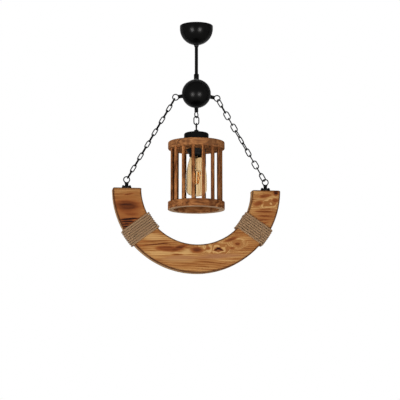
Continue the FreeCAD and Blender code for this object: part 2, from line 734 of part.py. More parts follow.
def socketed(name, inner, edge, low, high, mouth):
    """A wooden disc or ring with rounded edges and a circle of sockets for the dowels."""
    body = turned(
        name,
        [
            Corner(inner, low),
            Rounded("cage_radius", low, edge),
            Rounded("cage_radius", high, edge),
            Corner(inner, high),
        ],
    )
    whole = body.Shape.Volume
    hole = pocket(
        body,
        f"{name}_socket",
        mouth,
        "tenon_length + thread_gap",
        [
            (
                f"{SLAT_CIRCLE} * cos(slat_start)",
                f"{SLAT_CIRCLE} * sin(slat_start)",
                "tenon_radius + thread_gap",
            )
        ],
    )
    one = whole - body.Shape.Volume
    pattern = body.newObject("PartDesign::PolarPattern", f"{name}_sockets")
    pattern.Originals = [hole]
    axis = next(f for f in body.Origin.OriginFeatures if f.Role == "Z_Axis")
    pattern.Axis = (axis, [""])
    pattern.Angle = 360
    bind(pattern, "Occurrences", "slat_count")
    body.Tip = pattern
    doc.recompute()
    assert abs(whole - body.Shape.Volume - one * value("slat_count")) < one / 2, f"{name} lacks sockets"
    return body


def cage():
    """Disc and ring with a circle of shouldered dowels between them."""
    disc_mouth = f"{DISC_BOTTOM} + tenon_length + thread_gap"
    disc_levels = (DISC_BOTTOM, DISC_TOP, disc_mouth)
    ring_levels = (RING_BOTTOM, RING_TOP, RING_TOP)
    node(socketed("disc", "holder_radius + slip_gap", "disc_round", *disc_levels), "top_disc")
    node(socketed("ring", "cage_radius - ring_width", "ring_round", *ring_levels), "bottom_ring")
    for i in range(int(value("slat_count"))):
        angle = f"(slat_start + {i} * 360 / slat_count)"
        dowel = turned(
            f"dowel_{i + 1:02d}",
            [
                Corner("0", "-tenon_length"),
                Corner("tenon_radius", "-tenon_length"),
                Corner("tenon_radius", "0"),
                Corner("slat_radius", "0"),
                Corner("slat_radius", "slat_length"),
                Corner("tenon_radius", "slat_length"),
                Corner("tenon_radius", "slat_length + tenon_length"),
                Corner("0", "slat_length + tenon_length"),
            ],
        )
        place(dowel, f"{SLAT_CIRCLE} * cos({angle})", f"{SLAT_CIRCLE} * sin({angle})", RING_TOP)
        node(dowel, f"slat_{i + 1:02d}")


# Lamp holder and bulb


def lamp_holder():
    """A holder that stands in the disc on its shoulder, a clamp ring under it, and the inner contacts."""
    bore = "(eye_shank_radius + thread_gap)"
    shoulder_top = f"({DISC_TOP} + holder_shoulder)"
    shoulder = "(holder_radius + holder_shoulder_reach)"
    shell = turned(
        "holder",
        [
            Corner(bore, HOLDER_TOP),
            Corner(bore, INSERT_TOP),
            Corner(HOLDER_INSIDE, INSERT_TOP),
            Corner(HOLDER_INSIDE, HOLDER_BOTTOM),
            Corner("holder_radius", HOLDER_BOTTOM),
            Corner("holder_radius", DISC_TOP),
            Corner(shoulder, DISC_TOP),
            Corner(shoulder, shoulder_top),
            Corner("holder_radius", shoulder_top),
            Corner("holder_radius", HOLDER_TOP),
        ],
    )
    node(shell, "holder_shell")
    thread = "(holder_radius + thread_gap)"
    low = f"({DISC_BOTTOM} - clamp_ring_height)"
    ring = turned(
        "clamp_ring",
        [
            Corner(thread, DISC_BOTTOM),
            Corner(thread, low),
            Corner("clamp_ring_foot", low),
            Corner("clamp_ring_radius", f"{DISC_BOTTOM} - clamp_ring_edge"),
            Corner("clamp_ring_radius", DISC_BOTTOM),
        ],
    )
    node(ring, "holder_clamp_ring")
    insert_radius = f"{HOLDER_INSIDE} - thread_gap"
    node(cylinder("insert", insert_radius, "insert_thickness", z=INSERT_BOTTOM), "holder_insert")
    inner = "(bulb_cap_radius + slip_gap)"
    shell_low = f"{INSERT_BOTTOM} - screw_shell_length"
    screw = tube("screw_shell", inner, f"{inner} + screw_shell_wall", shell_low, INSERT_BOTTOM)
    node(screw, "holder_screw_shell")
    contact_z = f"{INSERT_BOTTOM} - contact_height"
    node(cylinder("contact", "contact_radius", "contact_height", z=contact_z), "holder_contact")


def bulb():
    """A pear-shaped glass on a screw cap, with a glass stem and a cone of filament sticks inside."""
    node(cylinder("tip", "bulb_tip_radius", "bulb_tip_height", z=BULB_CAP_TOP), "bulb_contact_tip")
    inner = "(bulb_cap_radius - bulb_cap_wall)"
    cone_foot = f"({BULB_CAP_TOP} - bulb_cap_cone)"
    roof = f"({BULB_CAP_TOP} - bulb_cap_wall)"
    screw_cap = turned(
        "screw_cap",
        [
            Corner("0", BULB_CAP_TOP),
            Corner("0", roof),
            Corner("bulb_tip_radius", roof),
            Corner(inner, f"{cone_foot} - bulb_cap_wall"),
            Corner(inner, GLASS_TOP),
            Corner("bulb_cap_radius", GLASS_TOP),
            Corner("bulb_cap_radius", cone_foot),
            Corner("bulb_tip_radius", BULB_CAP_TOP),
        ],
    )
    node(screw_cap, "bulb_cap")
    node(turned("glass", glass_outline()), "bulb_glass")
    flare = "(bulb_cap_radius - glass_wall - thread_gap)"
    flare_foot = f"({GLASS_TOP} - lamp_stem_flare)"
    lamp_stem = turned(
        "lamp_stem",
        [
            Corner("0", GLASS_TOP),
            Corner("0", STEM_END),
            Corner("lamp_stem_radius", STEM_END),
            Corner("lamp_stem_radius", f"{flare_foot} - {flare} / 2"),
            Corner(flare, flare_foot),
            Corner(flare, GLASS_TOP),
        ],
    )
    node(lamp_stem, "bulb_stem")
    filaments()


def glass_outline():
    """The outer wall down to the crown, and the inner wall up again, one glass thickness inside."""
    centre = "(glass_radius - glass_corner_radius)"
    crown_z = f"({GLASS_CORNER} + {centre} * tan(glass_crown_angle))"
    crown = f"(glass_corner_radius + {centre} / cos(glass_crown_angle))"
    drop = "(glass_radius - glass_neck_radius)"
    side = f"((glass_flare^2 + {drop}^2) / (2 * {drop}))"

    def wall(depth):
        """Six points from the cap to the crown, at a depth in the glass."""
        corner = f"(glass_corner_radius - {depth})"
        end = f"{centre} + {corner} * cos(glass_crown_angle)"
        end_z = f"{GLASS_CORNER} - {corner} * sin(glass_crown_angle)"
        return [
            (f"(bulb_cap_radius - {depth})", GLASS_TOP, None),
            (f"(glass_neck_radius - {depth})", GLASS_NECK, None),
            (f"(glass_radius - {depth})", GLASS_BELLY, f"({side} - {depth})"),
            (f"(glass_radius - {depth})", GLASS_CORNER, None),
            (f"({end})", f"({end_z})", corner),
            ("0", f"({crown_z} - {crown} + {depth})", f"({crown} - {depth})"),
        ]

    down, up = wall("0"), wall("glass_wall")
    corners = [Corner(u, v) if radius is None else ArcTo(u, v, radius, "right") for u, v, radius in down]
    radius = None
    for u, v, next_radius in reversed(up):
        corners.append(Corner(u, v) if radius is None else ArcTo(u, v, radius, "left"))
        radius = next_radius
    return corners


def filaments():
    """Wires spread from the end of the stem, filament sticks lean inward from them to a small ring."""
    count = int(value("filament_count"))
    lean = math.atan2(value("filament_top_circle - filament_foot_circle"), value("filament_drop"))
    length = "sqrt((filament_top_circle - filament_foot_circle)^2 + filament_drop^2)"
    spokes, sticks = [], []
    hub_height = "2 * filament_wire_radius"
    hub_disc = cylinder("wire_hub", "lamp_stem_radius", hub_height, z=f"{STEM_END} - {hub_height}")
    for i in range(count):
        angle = f"({i} * 360 / filament_count)"
        heading = Rotation(Z_AXIS, i * 360 / count)
        spoke_z = f"{STEM_END} - filament_wire_radius"
        outward = heading * Rotation(Y_AXIS, 90)
        reach = "filament_top_circle"
        spokes.append(cylinder("spoke", "filament_wire_radius", reach, z=spoke_z, rotation=outward))
        inward = heading * Rotation(Y_AXIS, math.degrees(lean))
        foot_x, foot_y = (f"filament_foot_circle * {way}({angle})" for way in ("cos", "sin"))
        stick_length = f"{length} - 2 * filament_wire_radius - filament_radius"
        at = {"x": foot_x, "y": foot_y, "z": FILAMENT_FOOT, "rotation": inward}
        sticks.append(cylinder("stick", "filament_radius", stick_length, **at))
    ring_z = f"{FILAMENT_FOOT} - 2 * filament_wire_radius - thread_gap"
    ring_sizes = {"Radius1": "filament_foot_circle", "Radius2": "filament_wire_radius"}
    foot_ring = primitive("Torus", "foot_ring", z=ring_z, **ring_sizes)
    node(compound("wire_group", [fuse("spider", [hub_disc] + spokes), foot_ring]), "filament_wires")
    node(compound("filament_group", sticks), "filaments")


# Half ring with its eyes and rope wraps


def crescent():
    """The wooden half ring, rounded along its edges and bored for the eyes and the plate screws."""
    body = new_body("half_ring")
    sketch = new_sketch(body, "half_ring_outline", "XZ_Plane")
    outer_x = "sqrt((crescent_outer_radius - crescent_corner)^2 - crescent_corner^2)"
    outer_share = "(crescent_outer_radius / (crescent_outer_radius - crescent_corner))"
    inner_x = "sqrt((crescent_inner_radius + crescent_corner)^2 - crescent_corner^2)"
    inner_share = "(crescent_inner_radius / (crescent_inner_radius + crescent_corner))"
    outer_z = f"{CRESCENT_TOP} - crescent_corner * {outer_share}"
    inner_z = f"{CRESCENT_TOP} - crescent_corner * {inner_share}"
    draw_outline(
        sketch,
        [
            ArcTo(f"-{inner_x}", CRESCENT_TOP, "crescent_corner", "left"),
            Corner(f"-{outer_x}", CRESCENT_TOP),
            ArcTo(f"-{outer_x} * {outer_share}", outer_z, "crescent_corner", "left"),
            ArcTo("0", f"{CRESCENT_TOP} - crescent_outer_radius", "crescent_outer_radius", "left"),
            ArcTo(f"{outer_x} * {outer_share}", outer_z, "crescent_outer_radius", "left"),
            ArcTo(outer_x, CRESCENT_TOP, "crescent_corner", "left"),
            Corner(inner_x, CRESCENT_TOP),
            ArcTo(f"{inner_x} * {inner_share}", inner_z, "crescent_corner", "left"),
            ArcTo("0", f"{CRESCENT_TOP} - crescent_inner_radius", "crescent_inner_radius", "right"),
            ArcTo(f"-{inner_x} * {inner_share}", inner_z, "crescent_inner_radius", "right"),
        ],
    )
    doc.recompute()
    pad = body.newObject("PartDesign::Pad", "half_ring_pad")
    pad.Profile = sketch
    pad.Midplane = True
    bind(pad, "Length", "crescent_thickness")
    doc.recompute()
    long_edges = [
        f"Edge{i}"
        for i, edge in enumerate(pad.Shape.Edges, start=1)
        if edge.BoundBox.YLength < edge.Length / 2
    ]
    rounding = body.newObject("PartDesign::Fillet", "half_ring_rounding")
    rounding.Base = (pad, long_edges)
    bind(rounding, "Radius", "crescent_round")
    doc.recompute()
    shank_way = "eye_shank_radius + thread_gap"
    shanks = [(f"{sign} * {CRESCENT_MIDDLE}", "0", shank_way) for sign in SIDES.values()]
    pocket(body, "shank_holes", CRESCENT_TOP, "crescent_shank + thread_gap", shanks)
    pilots = [(x, y, "screw_shank_radius + thread_gap") for x, y in plate_screw_places()]
    pocket(body, "pilot_holes", CRESCENT_TOP, "screw_length - rosette_height + thread_gap", pilots)
    node(body, "crescent")


def plate_screw_places():
    """The four plate screws, two beside each eye along the half ring."""
    reach = [f"{sign} * rosette_screw_reach" for sign in (-1, 1)]
    return [(f"({sign} * {CRESCENT_MIDDLE} + {r})", "0") for sign in SIDES.values() for r in reach]


def crescent_eyes():
    """An eye on a round plate at each end of the half ring."""
    plate_top = f"({CRESCENT_TOP} + rosette_height)"
    shank_way = "(eye_shank_radius + thread_gap)"
    plates, screws = [], []
    for side, sign in SIDES.items():
        middle = f"{sign} * {CRESCENT_MIDDLE}"
        seat = "(crescent_eye_height - rosette_height)"
        tail = "(crescent_shank + rosette_height)"
        made = eye(f"{side}_end_eye", seat, tail, Rotation(), x=middle, z=CRESCENT_EYE_Z)
        node(made, f"{side}_crescent_eye")
        blank = turned(
            f"{side}_plate_blank",
            [
                Corner(shank_way, "0"),
                Corner("rosette_radius", "0"),
                Rounded("rosette_radius", "rosette_height", "rosette_round"),
                Corner(shank_way, "rosette_height"),
            ],
        )
        reach = [f"{s} * rosette_screw_reach" for s in (-1, 1)]
        way = ("plate_way", "screw_shank_radius + thread_gap", "rosette_height")
        ways = [cylinder(*way, x) for x in reach]
        plates.append(place(cut(f"{side}_plate", blank, ways), middle, z=CRESCENT_TOP))
    for x, y in plate_screw_places():
        head = cylinder("screw_head", "screw_head_radius", "screw_head_height", x, y, plate_top)
        tip = f"{plate_top} - screw_length"
        shank = cylinder("screw_shank", "screw_shank_radius", "screw_length", x, y, tip)
        screws.append(fuse("plate_screw", [head, shank]))
    node(compound("plate_group", plates), "eye_rosettes")
    node(compound("plate_screw_group", screws), "rosette_screws")


def rope_wraps():
    """A close wrap of parallel turns round each arm, as one sleeve with a round crown on every turn."""
    turns = int(value("rope_turns"))
    half_width = "(rope_turns * rope_pitch / 2)"
    low = f"(sqrt(crescent_inner_radius^2 - {half_width}^2) - thread_gap)"
    high = "(crescent_outer_radius + thread_gap)"
    half_depth = "(crescent_thickness / 2 + thread_gap)"
    valley = "(rope_radius * (1 + cos(rope_crown_angle)))"
    crown_half = "(rope_radius * sin(rope_crown_angle))"
    for side, sign in SIDES.items():
        body = new_body(f"{side}_wrap")
        way = new_sketch(body, f"{side}_wrap_way", "XY_Plane")
        draw_outline(
            way,
            [
                Rounded(low, f"-{half_depth}", "crescent_round"),
                Rounded(high, f"-{half_depth}", "crescent_round"),
                Rounded(high, half_depth, "crescent_round"),
                Rounded(low, half_depth, "crescent_round"),
            ],
        )
        profile = new_sketch(body, f"{side}_wrap_profile", "XZ_Plane")
        corners = [Corner(high, half_width), Corner(high, f"-{half_width}")]
        for i in range(turns):
            middle = f"(({i} + 0.5) * rope_pitch - {half_width})"
            out = f"({high} + {valley})"
            corners.append(Corner(out, f"({middle} - {crown_half})"))
            corners.append(ArcTo(out, f"({middle} + {crown_half})", "rope_radius", "left"))
        draw_outline(profile, corners)
        doc.recompute()
        pipe = body.newObject("PartDesign::AdditivePipe", f"{side}_wrap_pipe")
        pipe.Profile = profile
        pipe.Spine = (way, [f"Edge{i}" for i in range(1, len(way.Shape.Edges) + 1)])
        pipe.Transition = "Right corner"
        doc.recompute()
        dip = value(f"{side}_rope_angle")
        lean = Rotation(Y_AXIS, dip if sign > 0 else 180 - dip)
        place(body, z=CRESCENT_TOP, rotation=lean)
        node(body, f"{side}_rope_wrap")


def check():
    """Stops if a feature failed or a piece isn't a sound solid."""
    doc.recompute()
    for thing in doc.Objects:
        failed = {"Invalid", "Error"}.intersection(thing.State)
        assert not failed, f"{thing.Name} {thing.Label} failed"
    for thing in nodes:
        shape = thing.Shape
        assert not shape.isNull() and shape.isValid() and shape.Solids, f"{thing.Label} isn't sound"


ceiling_bracket()
stem()
terminal_block()
canopy()
hub()
chains()
cap()
cage()
lamp_holder()
bulb()
crescent()
crescent_eyes()
rope_wraps()
check()

os.makedirs("parts", exist_ok=True)
for thing in nodes:
    thing.Shape.exportStep(f"parts/{thing.Label}.step")
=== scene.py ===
from math import acos, asin, atan, atan2, cos, degrees, hypot, pi, radians, sin, sqrt, tan, tau

import bmesh
import bpy
from mathutils import Matrix, Vector, noise


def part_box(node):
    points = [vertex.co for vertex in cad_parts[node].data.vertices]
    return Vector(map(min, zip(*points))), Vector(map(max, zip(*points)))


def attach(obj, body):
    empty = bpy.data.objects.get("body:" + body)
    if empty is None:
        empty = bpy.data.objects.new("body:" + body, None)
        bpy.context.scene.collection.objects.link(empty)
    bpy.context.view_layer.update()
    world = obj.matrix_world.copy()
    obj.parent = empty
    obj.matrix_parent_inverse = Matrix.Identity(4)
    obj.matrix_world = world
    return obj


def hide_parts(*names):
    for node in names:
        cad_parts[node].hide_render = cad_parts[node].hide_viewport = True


# Looks of a hanging lamp: a black dome, stem and ball hub, a scorched wooden half ring on two
# chains, and a dowel cage with an amber bulb under the hub. Meshes are modelled in millimetres
# and scaled to metres when they are finished.

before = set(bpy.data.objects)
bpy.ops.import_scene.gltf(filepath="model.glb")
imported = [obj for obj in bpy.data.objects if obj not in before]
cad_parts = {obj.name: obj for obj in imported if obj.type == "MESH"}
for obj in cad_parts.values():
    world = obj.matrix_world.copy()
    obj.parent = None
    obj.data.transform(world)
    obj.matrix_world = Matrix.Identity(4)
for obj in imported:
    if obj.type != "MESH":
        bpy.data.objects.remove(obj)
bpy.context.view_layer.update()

MM = 0.001
Y, Z = Vector((0, 1, 0)), Vector((0, 0, 1))
SIDES = {"left": -1, "right": 1}


def cad_box(node):
    """Lowest and highest corner of a CAD node, in millimetres."""
    low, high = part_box(node)
    return low / MM, high / MM


# Sizes that the solids give
DOME_LOW, DOME_HIGH = cad_box("canopy_dome")
COLLAR_LOW, COLLAR_HIGH = cad_box("canopy_collar")
STEM_LOW, STEM_HIGH = cad_box("stem")
COUPLING_LOW, COUPLING_HIGH = cad_box("hub_coupling")
BALL_LOW, BALL_HIGH = cad_box("hub_ball")
CONE_LOW, CONE_HIGH = cad_box("cap_cone_nut")
CAP_LOW, CAP_HIGH = cad_box("shade_cap")
DISC_LOW, DISC_HIGH = cad_box("top_disc")
RING_LOW, RING_HIGH = cad_box("bottom_ring")
SHELL_LOW, SHELL_HIGH = cad_box("holder_shell")
CLAMP_LOW, CLAMP_HIGH = cad_box("holder_clamp_ring")
GLASS_HIGH = cad_box("bulb_glass")[1]
LAMP_STEM_LOW, LAMP_STEM_HIGH = cad_box("bulb_stem")
WIRES_LOW = cad_box("filament_wires")[0]
CRESCENT_Z = cad_box("crescent")[1].z

# Sizes that are shared with the solids
DOME_RADIUS, DOME_RIM, DOME_WALL = DOME_HIGH.x, 8.5, 1.2
STEM_RADIUS, STEM_WALL = STEM_HIGH.x, 1
HUB_Z = -212
BALL_RADIUS, BALL_TOP_LAND, BALL_EYE_LAND = BALL_HIGH.x, 8.4, 7.2
EYE_LAND = sqrt(BALL_RADIUS**2 - BALL_EYE_LAND**2)
HUB_EYE_REACH, HUB_EYE_DIP = 65, radians(11.6)
BOTTOM_EYE_REACH, BOTTOM_EYE_TURN = 65.7, radians(50)
EYE_RING, EYE_WIRE, EYE_OPENING = 9.0, 1.7, 7.3
EYE_NECK, EYE_FOOT, HUB_EYE_WAIST = 6, 6.2, 5.7
LINK_WIRE, LINK_LENGTH, LINK_WIDTH, LINK_PLAY, LINK_COUNT = 1.7, 22.2, 11.6, 0.5, 13
CAP_EYE_HEIGHT = 21
CAGE_RADIUS, DISC_ROUND, RING_ROUND = DISC_HIGH.x, 3, 1.2
RING_OPENING = CAGE_RADIUS - 17.5
SLAT_COUNT, SLAT_RADIUS, SLAT_START = 15, 5.2, 255.6
SLAT_CIRCLE = CAGE_RADIUS - 12.1
GLASS_WALL, GLASS_CORNER, GLASS_CROWN_ANGLE = 1, 20, 65
CRESCENT_OUTER, CRESCENT_INNER, CRESCENT_HALF = 254, 168, 20
CRESCENT_MIDDLE = (CRESCENT_OUTER + CRESCENT_INNER) / 2
CRESCENT_EYE_HEIGHT = 26.6
PLATE_HEIGHT = 6.5
ROPE_RADIUS, ROPE_PITCH, ROPE_TURNS = 3.35, 7, 8
STRANDS, STRAND_LAY = 3, 10.5
ROPE_ANGLES = {"left": radians(36.2), "right": radians(34.3)}


# Shader maths


class Wire:
    """A socket in a material's node tree. Arithmetic on it adds Math nodes."""

    def __init__(self, tree, socket=None):
        self.tree = tree
        self.socket = socket

    def node(self, kind, settings, sockets, output=0):
        """A node of a kind: settings first, then its sockets' values or links. Gives one output."""
        made = self.tree.nodes.new(kind)
        for name, setting in settings.items():
            if name == "stops":
                set_stops(made.color_ramp, setting)
            else:
                setattr(made, name, setting)
        for name, given in sockets.items():
            if isinstance(given, Wire):
                self.tree.links.new(given.socket, made.inputs[name])
            else:
                made.inputs[name].default_value = given
        return Wire(self.tree, made.outputs[output])

    def math(self, operation, *others):
        """A Math node on this value and the others."""
        sockets = dict(enumerate((self, *others)))
        return self.node("ShaderNodeMath", {"operation": operation}, sockets)

    def __add__(self, other):
        return self.math("ADD", other)

    __radd__ = __add__

    def __sub__(self, other):
        return self.math("SUBTRACT", other)

    def __rsub__(self, other):
        return self.node("ShaderNodeMath", {"operation": "SUBTRACT"}, {0: other, 1: self})

    def __mul__(self, other):
        return self.math("MULTIPLY", other)

    __rmul__ = __mul__

    def __truediv__(self, other):
        return self.math("DIVIDE", other)

    def __pow__(self, other):
        return self.math("POWER", other)


def set_stops(ramp, stops):
    """Gives a colour ramp its stops, each as (place, colour)."""
    while len(ramp.elements) < len(stops):
        ramp.elements.new(1)
    for element, (place, colour) in zip(ramp.elements, stops):
        element.position = place
        element.color = (*colour, 1)


class Finish:
    """A material under way: its tree, its object coordinates and its Principled shader."""

    def __init__(self, name, **fixed):
        self.material = bpy.data.materials.new(name)
        self.material.use_nodes = True
        self.tree = self.material.node_tree
        self.shader = self.tree.nodes["Principled BSDF"]
        for socket, given in fixed.items():
            self.shader.inputs[socket.replace("_", " ")].default_value = given
        self.place = Wire(self.tree).node("ShaderNodeTexCoord", {}, {}, "Object")
        parts = self.place.node("ShaderNodeSeparateXYZ", {}, {0: self.place}).socket.node
        self.x, self.y, self.z = (Wire(self.tree, output) for output in parts.outputs)

    def vector(self, x, y, z):
        """A place put together from three values."""
        return self.place.node("ShaderNodeCombineXYZ", {}, {0: x, 1: y, 2: z})

    def noise(self, scale, detail=3, roughness=0.5, stretch=None, at=None):
        """Noise from 0 to 1 on object coordinates or a place of its own, stretched along axes."""
        place = at or self.place
        if stretch:
            factors = {0: place, 1: stretch}
            place = place.node("ShaderNodeVectorMath", {"operation": "MULTIPLY"}, factors)
        sockets = {"Vector": place, "Scale": scale, "Detail": detail, "Roughness": roughness}
        return place.node("ShaderNodeTexNoise", {}, sockets)

    def steps(self, value, low, high, to_low=0, to_high=1):
        """A smooth step from one value to another."""
        sockets = {"Value": value, 1: low, 2: high, 3: to_low, 4: to_high}
        return self.place.node("ShaderNodeMapRange", {"interpolation_type": "SMOOTHSTEP"}, sockets)

    def ramp(self, value, stops):
        """A colour by a value, between stops."""
        return self.place.node("ShaderNodeValToRGB", {"stops": stops}, {0: value})

    def mix(self, factor, first, second):
        """One colour over another by a factor."""
        sockets = {0: factor, 6: colour(first), 7: colour(second)}
        return self.place.node("ShaderNodeMix", {"data_type": "RGBA"}, sockets, 2)

    def layers(self, base, *coats):
        """Colours laid over a base one by one, each given as (amount, colour)."""
        for amount, coat in coats:
            base = self.mix(amount, base, coat)
        return base

    def feed(self, socket, wire):
        """Links a value to the shader."""
        self.tree.links.new(wire.socket, self.shader.inputs[socket])

    def done(self, base, roughness, relief=None, depth=0):
        """The material with its colour, roughness and relief, whose depth is in metres."""
        self.feed("Base Color", base)
        self.feed("Roughness", roughness)
        if relief:
            sockets = {"Height": relief, "Distance": depth, "Strength": 1}
            self.feed("Normal", self.place.node("ShaderNodeBump", {}, sockets))
        return self.material


def colour(given):
    """A colour as a socket takes it: a link as it is, three numbers with their alpha."""
    return given if isinstance(given, Wire) else (*given, 1)


def slant(across, up):
    """Length of a slant from its two legs."""
    return (across * across + up * up) ** 0.5


def wave(value):
    """A sine wave from 0 to 1."""
    return value.math("SINE") * 0.5 + 0.5


# Finishes


def black_enamel():
    """Satin black stove enamel on pressed and turned metal: a faint mottle, a fine orange peel."""
    finish = Finish(
        "black_enamel",
        Metallic=1.0,
        Specular_Tint=(0, 0, 0, 1),  # no mirror light along the outline, a soft sheen instead
        Sheen_Weight=0.30,
        Sheen_Roughness=0.35,
    )
    mottle = finish.noise(38, 4)
    dust = finish.noise(420, 2)
    stops = [(0.3, (0.0050, 0.0050, 0.0050)), (0.75, (0.0064, 0.0062, 0.0060))]
    glossier_dome = finish.steps(finish.z / MM, BALL_HIGH.z, DOME_LOW.z)
    rough = 0.26 - glossier_dome * 0.03 + mottle * 0.05 + dust * 0.03
    return finish.done(finish.ramp(mottle, stops), rough, finish.noise(260, 2), 0.000004)


def chain_black():
    """Black lacquer on welded wire: duller, with rubbed spots where it is handled."""
    finish = Finish("chain_black", Specular_IOR_Level=0.022)
    rub = finish.steps(finish.noise(160, 4, 0.6), 0.6, 0.78)
    base = finish.mix(rub, (0.005, 0.005, 0.005), (0.020, 0.018, 0.016))
    return finish.done(base, 0.72 - rub * 0.2, finish.noise(900, 3, 0.6), 0.00005)


def moulded_black():
    """Moulded black plastic of the lamp holder, with a faint flow pattern."""
    finish = Finish("moulded_black", Specular_IOR_Level=0.06)
    flow = finish.noise(60, 3, stretch=(1, 1, 3))
    base = finish.ramp(flow, [(0.3, (0.004, 0.004, 0.004)), (0.8, (0.010, 0.009, 0.008))])
    return finish.done(base, 0.42 + flow * 0.16, finish.noise(700, 2), 0.00003)


# Figure of the half ring's board, in millimetres from the middle of its end plane
KNOTS = [
    # Knots that the growth rings run round: x, z, half length, half height
    (64, -181, 42, 24),
    (124, -163, 24, 17),
    (22, -176, 24, 18),
    (222, -40, 44, 24),
    (240, -7, 16, 14),
]
BURNS = [
    # Scorched places: x, z, half length, half height, slope of the length, depth
    (-206, -66, 62, 40, 0, 0.52),
    (-211, -57, 48, 26, 0, 0.76),
    (-209, -57, 34, 16, 0, 0.86),
    (-198, -80, 36, 8, 0, 0.68),
    (-206, -20, 20, 3.2, 0.14, 0.74),
    (-215, -106, 42, 20, 0.05, 0.76),
    (-204, -95, 36, 3.8, 0.09, 1.12),
    (-210, -103, 28, 3.0, 0.05, 1.10),
    (-215, -110.5, 20, 3.0, 0.08, 1.08),
    (-213, -118, 12, 3.4, 0, 1.08),
    (-118, -169, 64, 2.5, 0.11, 0.90),
    (-124, -160, 52, 2.2, 0.05, 0.76),
    (-85, -182, 42, 9, -0.04, 0.73),
    (-54, -179, 30, 9, 0.30, 0.78),
    (-59, -200, 22, 2.4, 0, 0.72),
    (0, -184, 24, 12, 0, 0.79),
    (33, -179, 11, 6, 0, 0.62),
    (64, -180.5, 12, 5.6, 0, 0.98),
    (57, -183.5, 9, 3.4, 0.25, 0.95),
    (72, -183.5, 9, 3.4, -0.25, 0.92),
    (64, -187, 16, 2.6, 0, 0.72),
    (102, -152, 26, 6.5, 0.33, 0.75),
    (122, -165, 10, 7, 0, 0.76),
    (105, -178, 10, 4, 0.1, 0.68),
    (206, -18, 22, 7, 0.2, 0.70),
    (187, -41, 19, 9, 0.2, 0.70),
    (238, -31, 11, 7, 0, 0.74),
    (240, -7, 10, 10, 0, 0.92),
    (208, -84, 46, 28, 0, 0.33),
    (212, -58, 26, 2.8, 0.06, 0.68),
    (205, -66, 34, 3.6, 0, 0.74),
    (206, -79, 30, 3.8, 0, 0.74),
    (200, -91, 30, 3.2, 0.05, 0.74),
    (196, -101, 26, 3.2, 0.10, 0.68),
]
PALE = [
    # Pale places that the flame left out, in the same way
    (-29, -191, 28, 8, 0.30, 0.95),
    (-108, -197, 48, 7, 0.05, 0.72),
    (-140, -147, 46, 11, -0.08, 0.72),
    (-60, -216, 54, 7, 0, 0.50),
    (14, -170, 13, 12, 0, 0.60),
    (228, -22, 22, 5, 0.15, 0.60),
    (192, -28, 18, 5, 0.20, 0.55),
    (215, -52, 30, 3, 0.10, 0.60),
]
BLUSH = [
    # Greyish pink bands in the lower half, in the same way
    (66, -203, 74, 8, 0.05, 0.75),
    (-52, -209, 56, 7, 0.03, 0.55),
]
PINE_GRAIN = [
    # Colour of the plain wood by its grain
    (0.10, (0.583, 0.325, 0.119)),
    (0.35, (0.454, 0.212, 0.068)),
    (0.60, (0.335, 0.128, 0.036)),
    (0.90, (0.184, 0.055, 0.016)),
]
SHEEN_SIDE_GRAIN = [
    # Colour of the board's curved sides by their streaks, painted pale as a sheen of grazing light
    (0.2, (0.57, 0.37, 0.20)),
    (0.8, (0.40, 0.23, 0.11)),
]
SCORCH = [
    # Colour of the wood by the depth of its scorch
    (0.30, (0.374, 0.144, 0.043)),
    (0.62, (0.264, 0.077, 0.022)),
    (0.80, (0.116, 0.031, 0.011)),
    (0.95, (0.020, 0.008, 0.008)),
]


def scorched_pine():
    """Scorched, brushed and oiled softwood with knots, burnt places and burnt edges."""
    finish = Finish("scorched_pine", Specular_IOR_Level=0.012)
    x, y, z = finish.x / MM, finish.y / MM, finish.z / MM - CRESCENT_Z
    wander = finish.noise(26, 3, stretch=(0.25, 1, 1)) - 0.5
    height, halo = growth_height(finish, x, y, z, wander)
    fibre = finish.noise(300, 4, 0.62, stretch=(0.035, 1, 1))
    fine = finish.noise(950, 3, 0.6, stretch=(0.02, 1, 1))
    streaks = finish.steps(fibre, 0.32, 0.68)
    late_wood = finish.steps((height / 6.6).math("FRACT"), 0.35, 0.95) * (1 - halo * 0.75)
    wide_rings = wave(height * 0.13 + wander * 3)
    grain = late_wood * 0.30 + wide_rings * 0.26 + streaks * 0.44
    broad = finish.noise(7, 3, 0.55, stretch=(0.5, 1, 1))
    arms = finish.steps(x, -120, -205).math("MAXIMUM", finish.steps(x, 165, 215) * 0.75)
    whorl = wave(height * (tau / 6.8))
    swirl = halo * finish.steps(whorl, 0.52, 0.88)
    pale = swirl.math("MAXIMUM", patches(finish, x, z, fibre, PALE))
    burn = patches(finish, x, z, fibre, BURNS) * (0.84 + streaks * 0.22)
    soot = burnt_rim(finish, x, y, z) * (0.55 + finish.noise(45, 3) * 0.7)
    base = finish.layers(
        finish.ramp(grain, PINE_GRAIN),
        (finish.steps(broad, 0.46, 0.72) * 0.35, (0.292, 0.100, 0.029)),
        (arms * 0.32, (0.248, 0.082, 0.023)),
        (halo * finish.steps(whorl, 0.55, 0.2) * 0.7, (0.324, 0.120, 0.035)),
        (pale * 0.88, (0.616, 0.359, 0.139)),
        (patches(finish, x, z, fibre, BLUSH), (0.37, 0.166, 0.079)),
        (finish.steps(burn, 0.05, 0.5), finish.ramp(burn, SCORCH)),
        # painted sheen: the curved sides are painted pale, where grazing light would catch them
        (painted_sheen_sides(finish, x, y, z) * 0.8, finish.ramp(streaks, SHEEN_SIDE_GRAIN)),
        (soot, (0.076, 0.027, 0.012)),
        (finish.steps(fine, 0.58, 0.74) * 0.40, (0.140, 0.043, 0.014)),
    )
    rough = 0.72 + grain * 0.18 + burn * 0.08
    return finish.done(base, rough, grain * 0.5 + fine * 0.3 + fibre * 0.4, 0.0006)


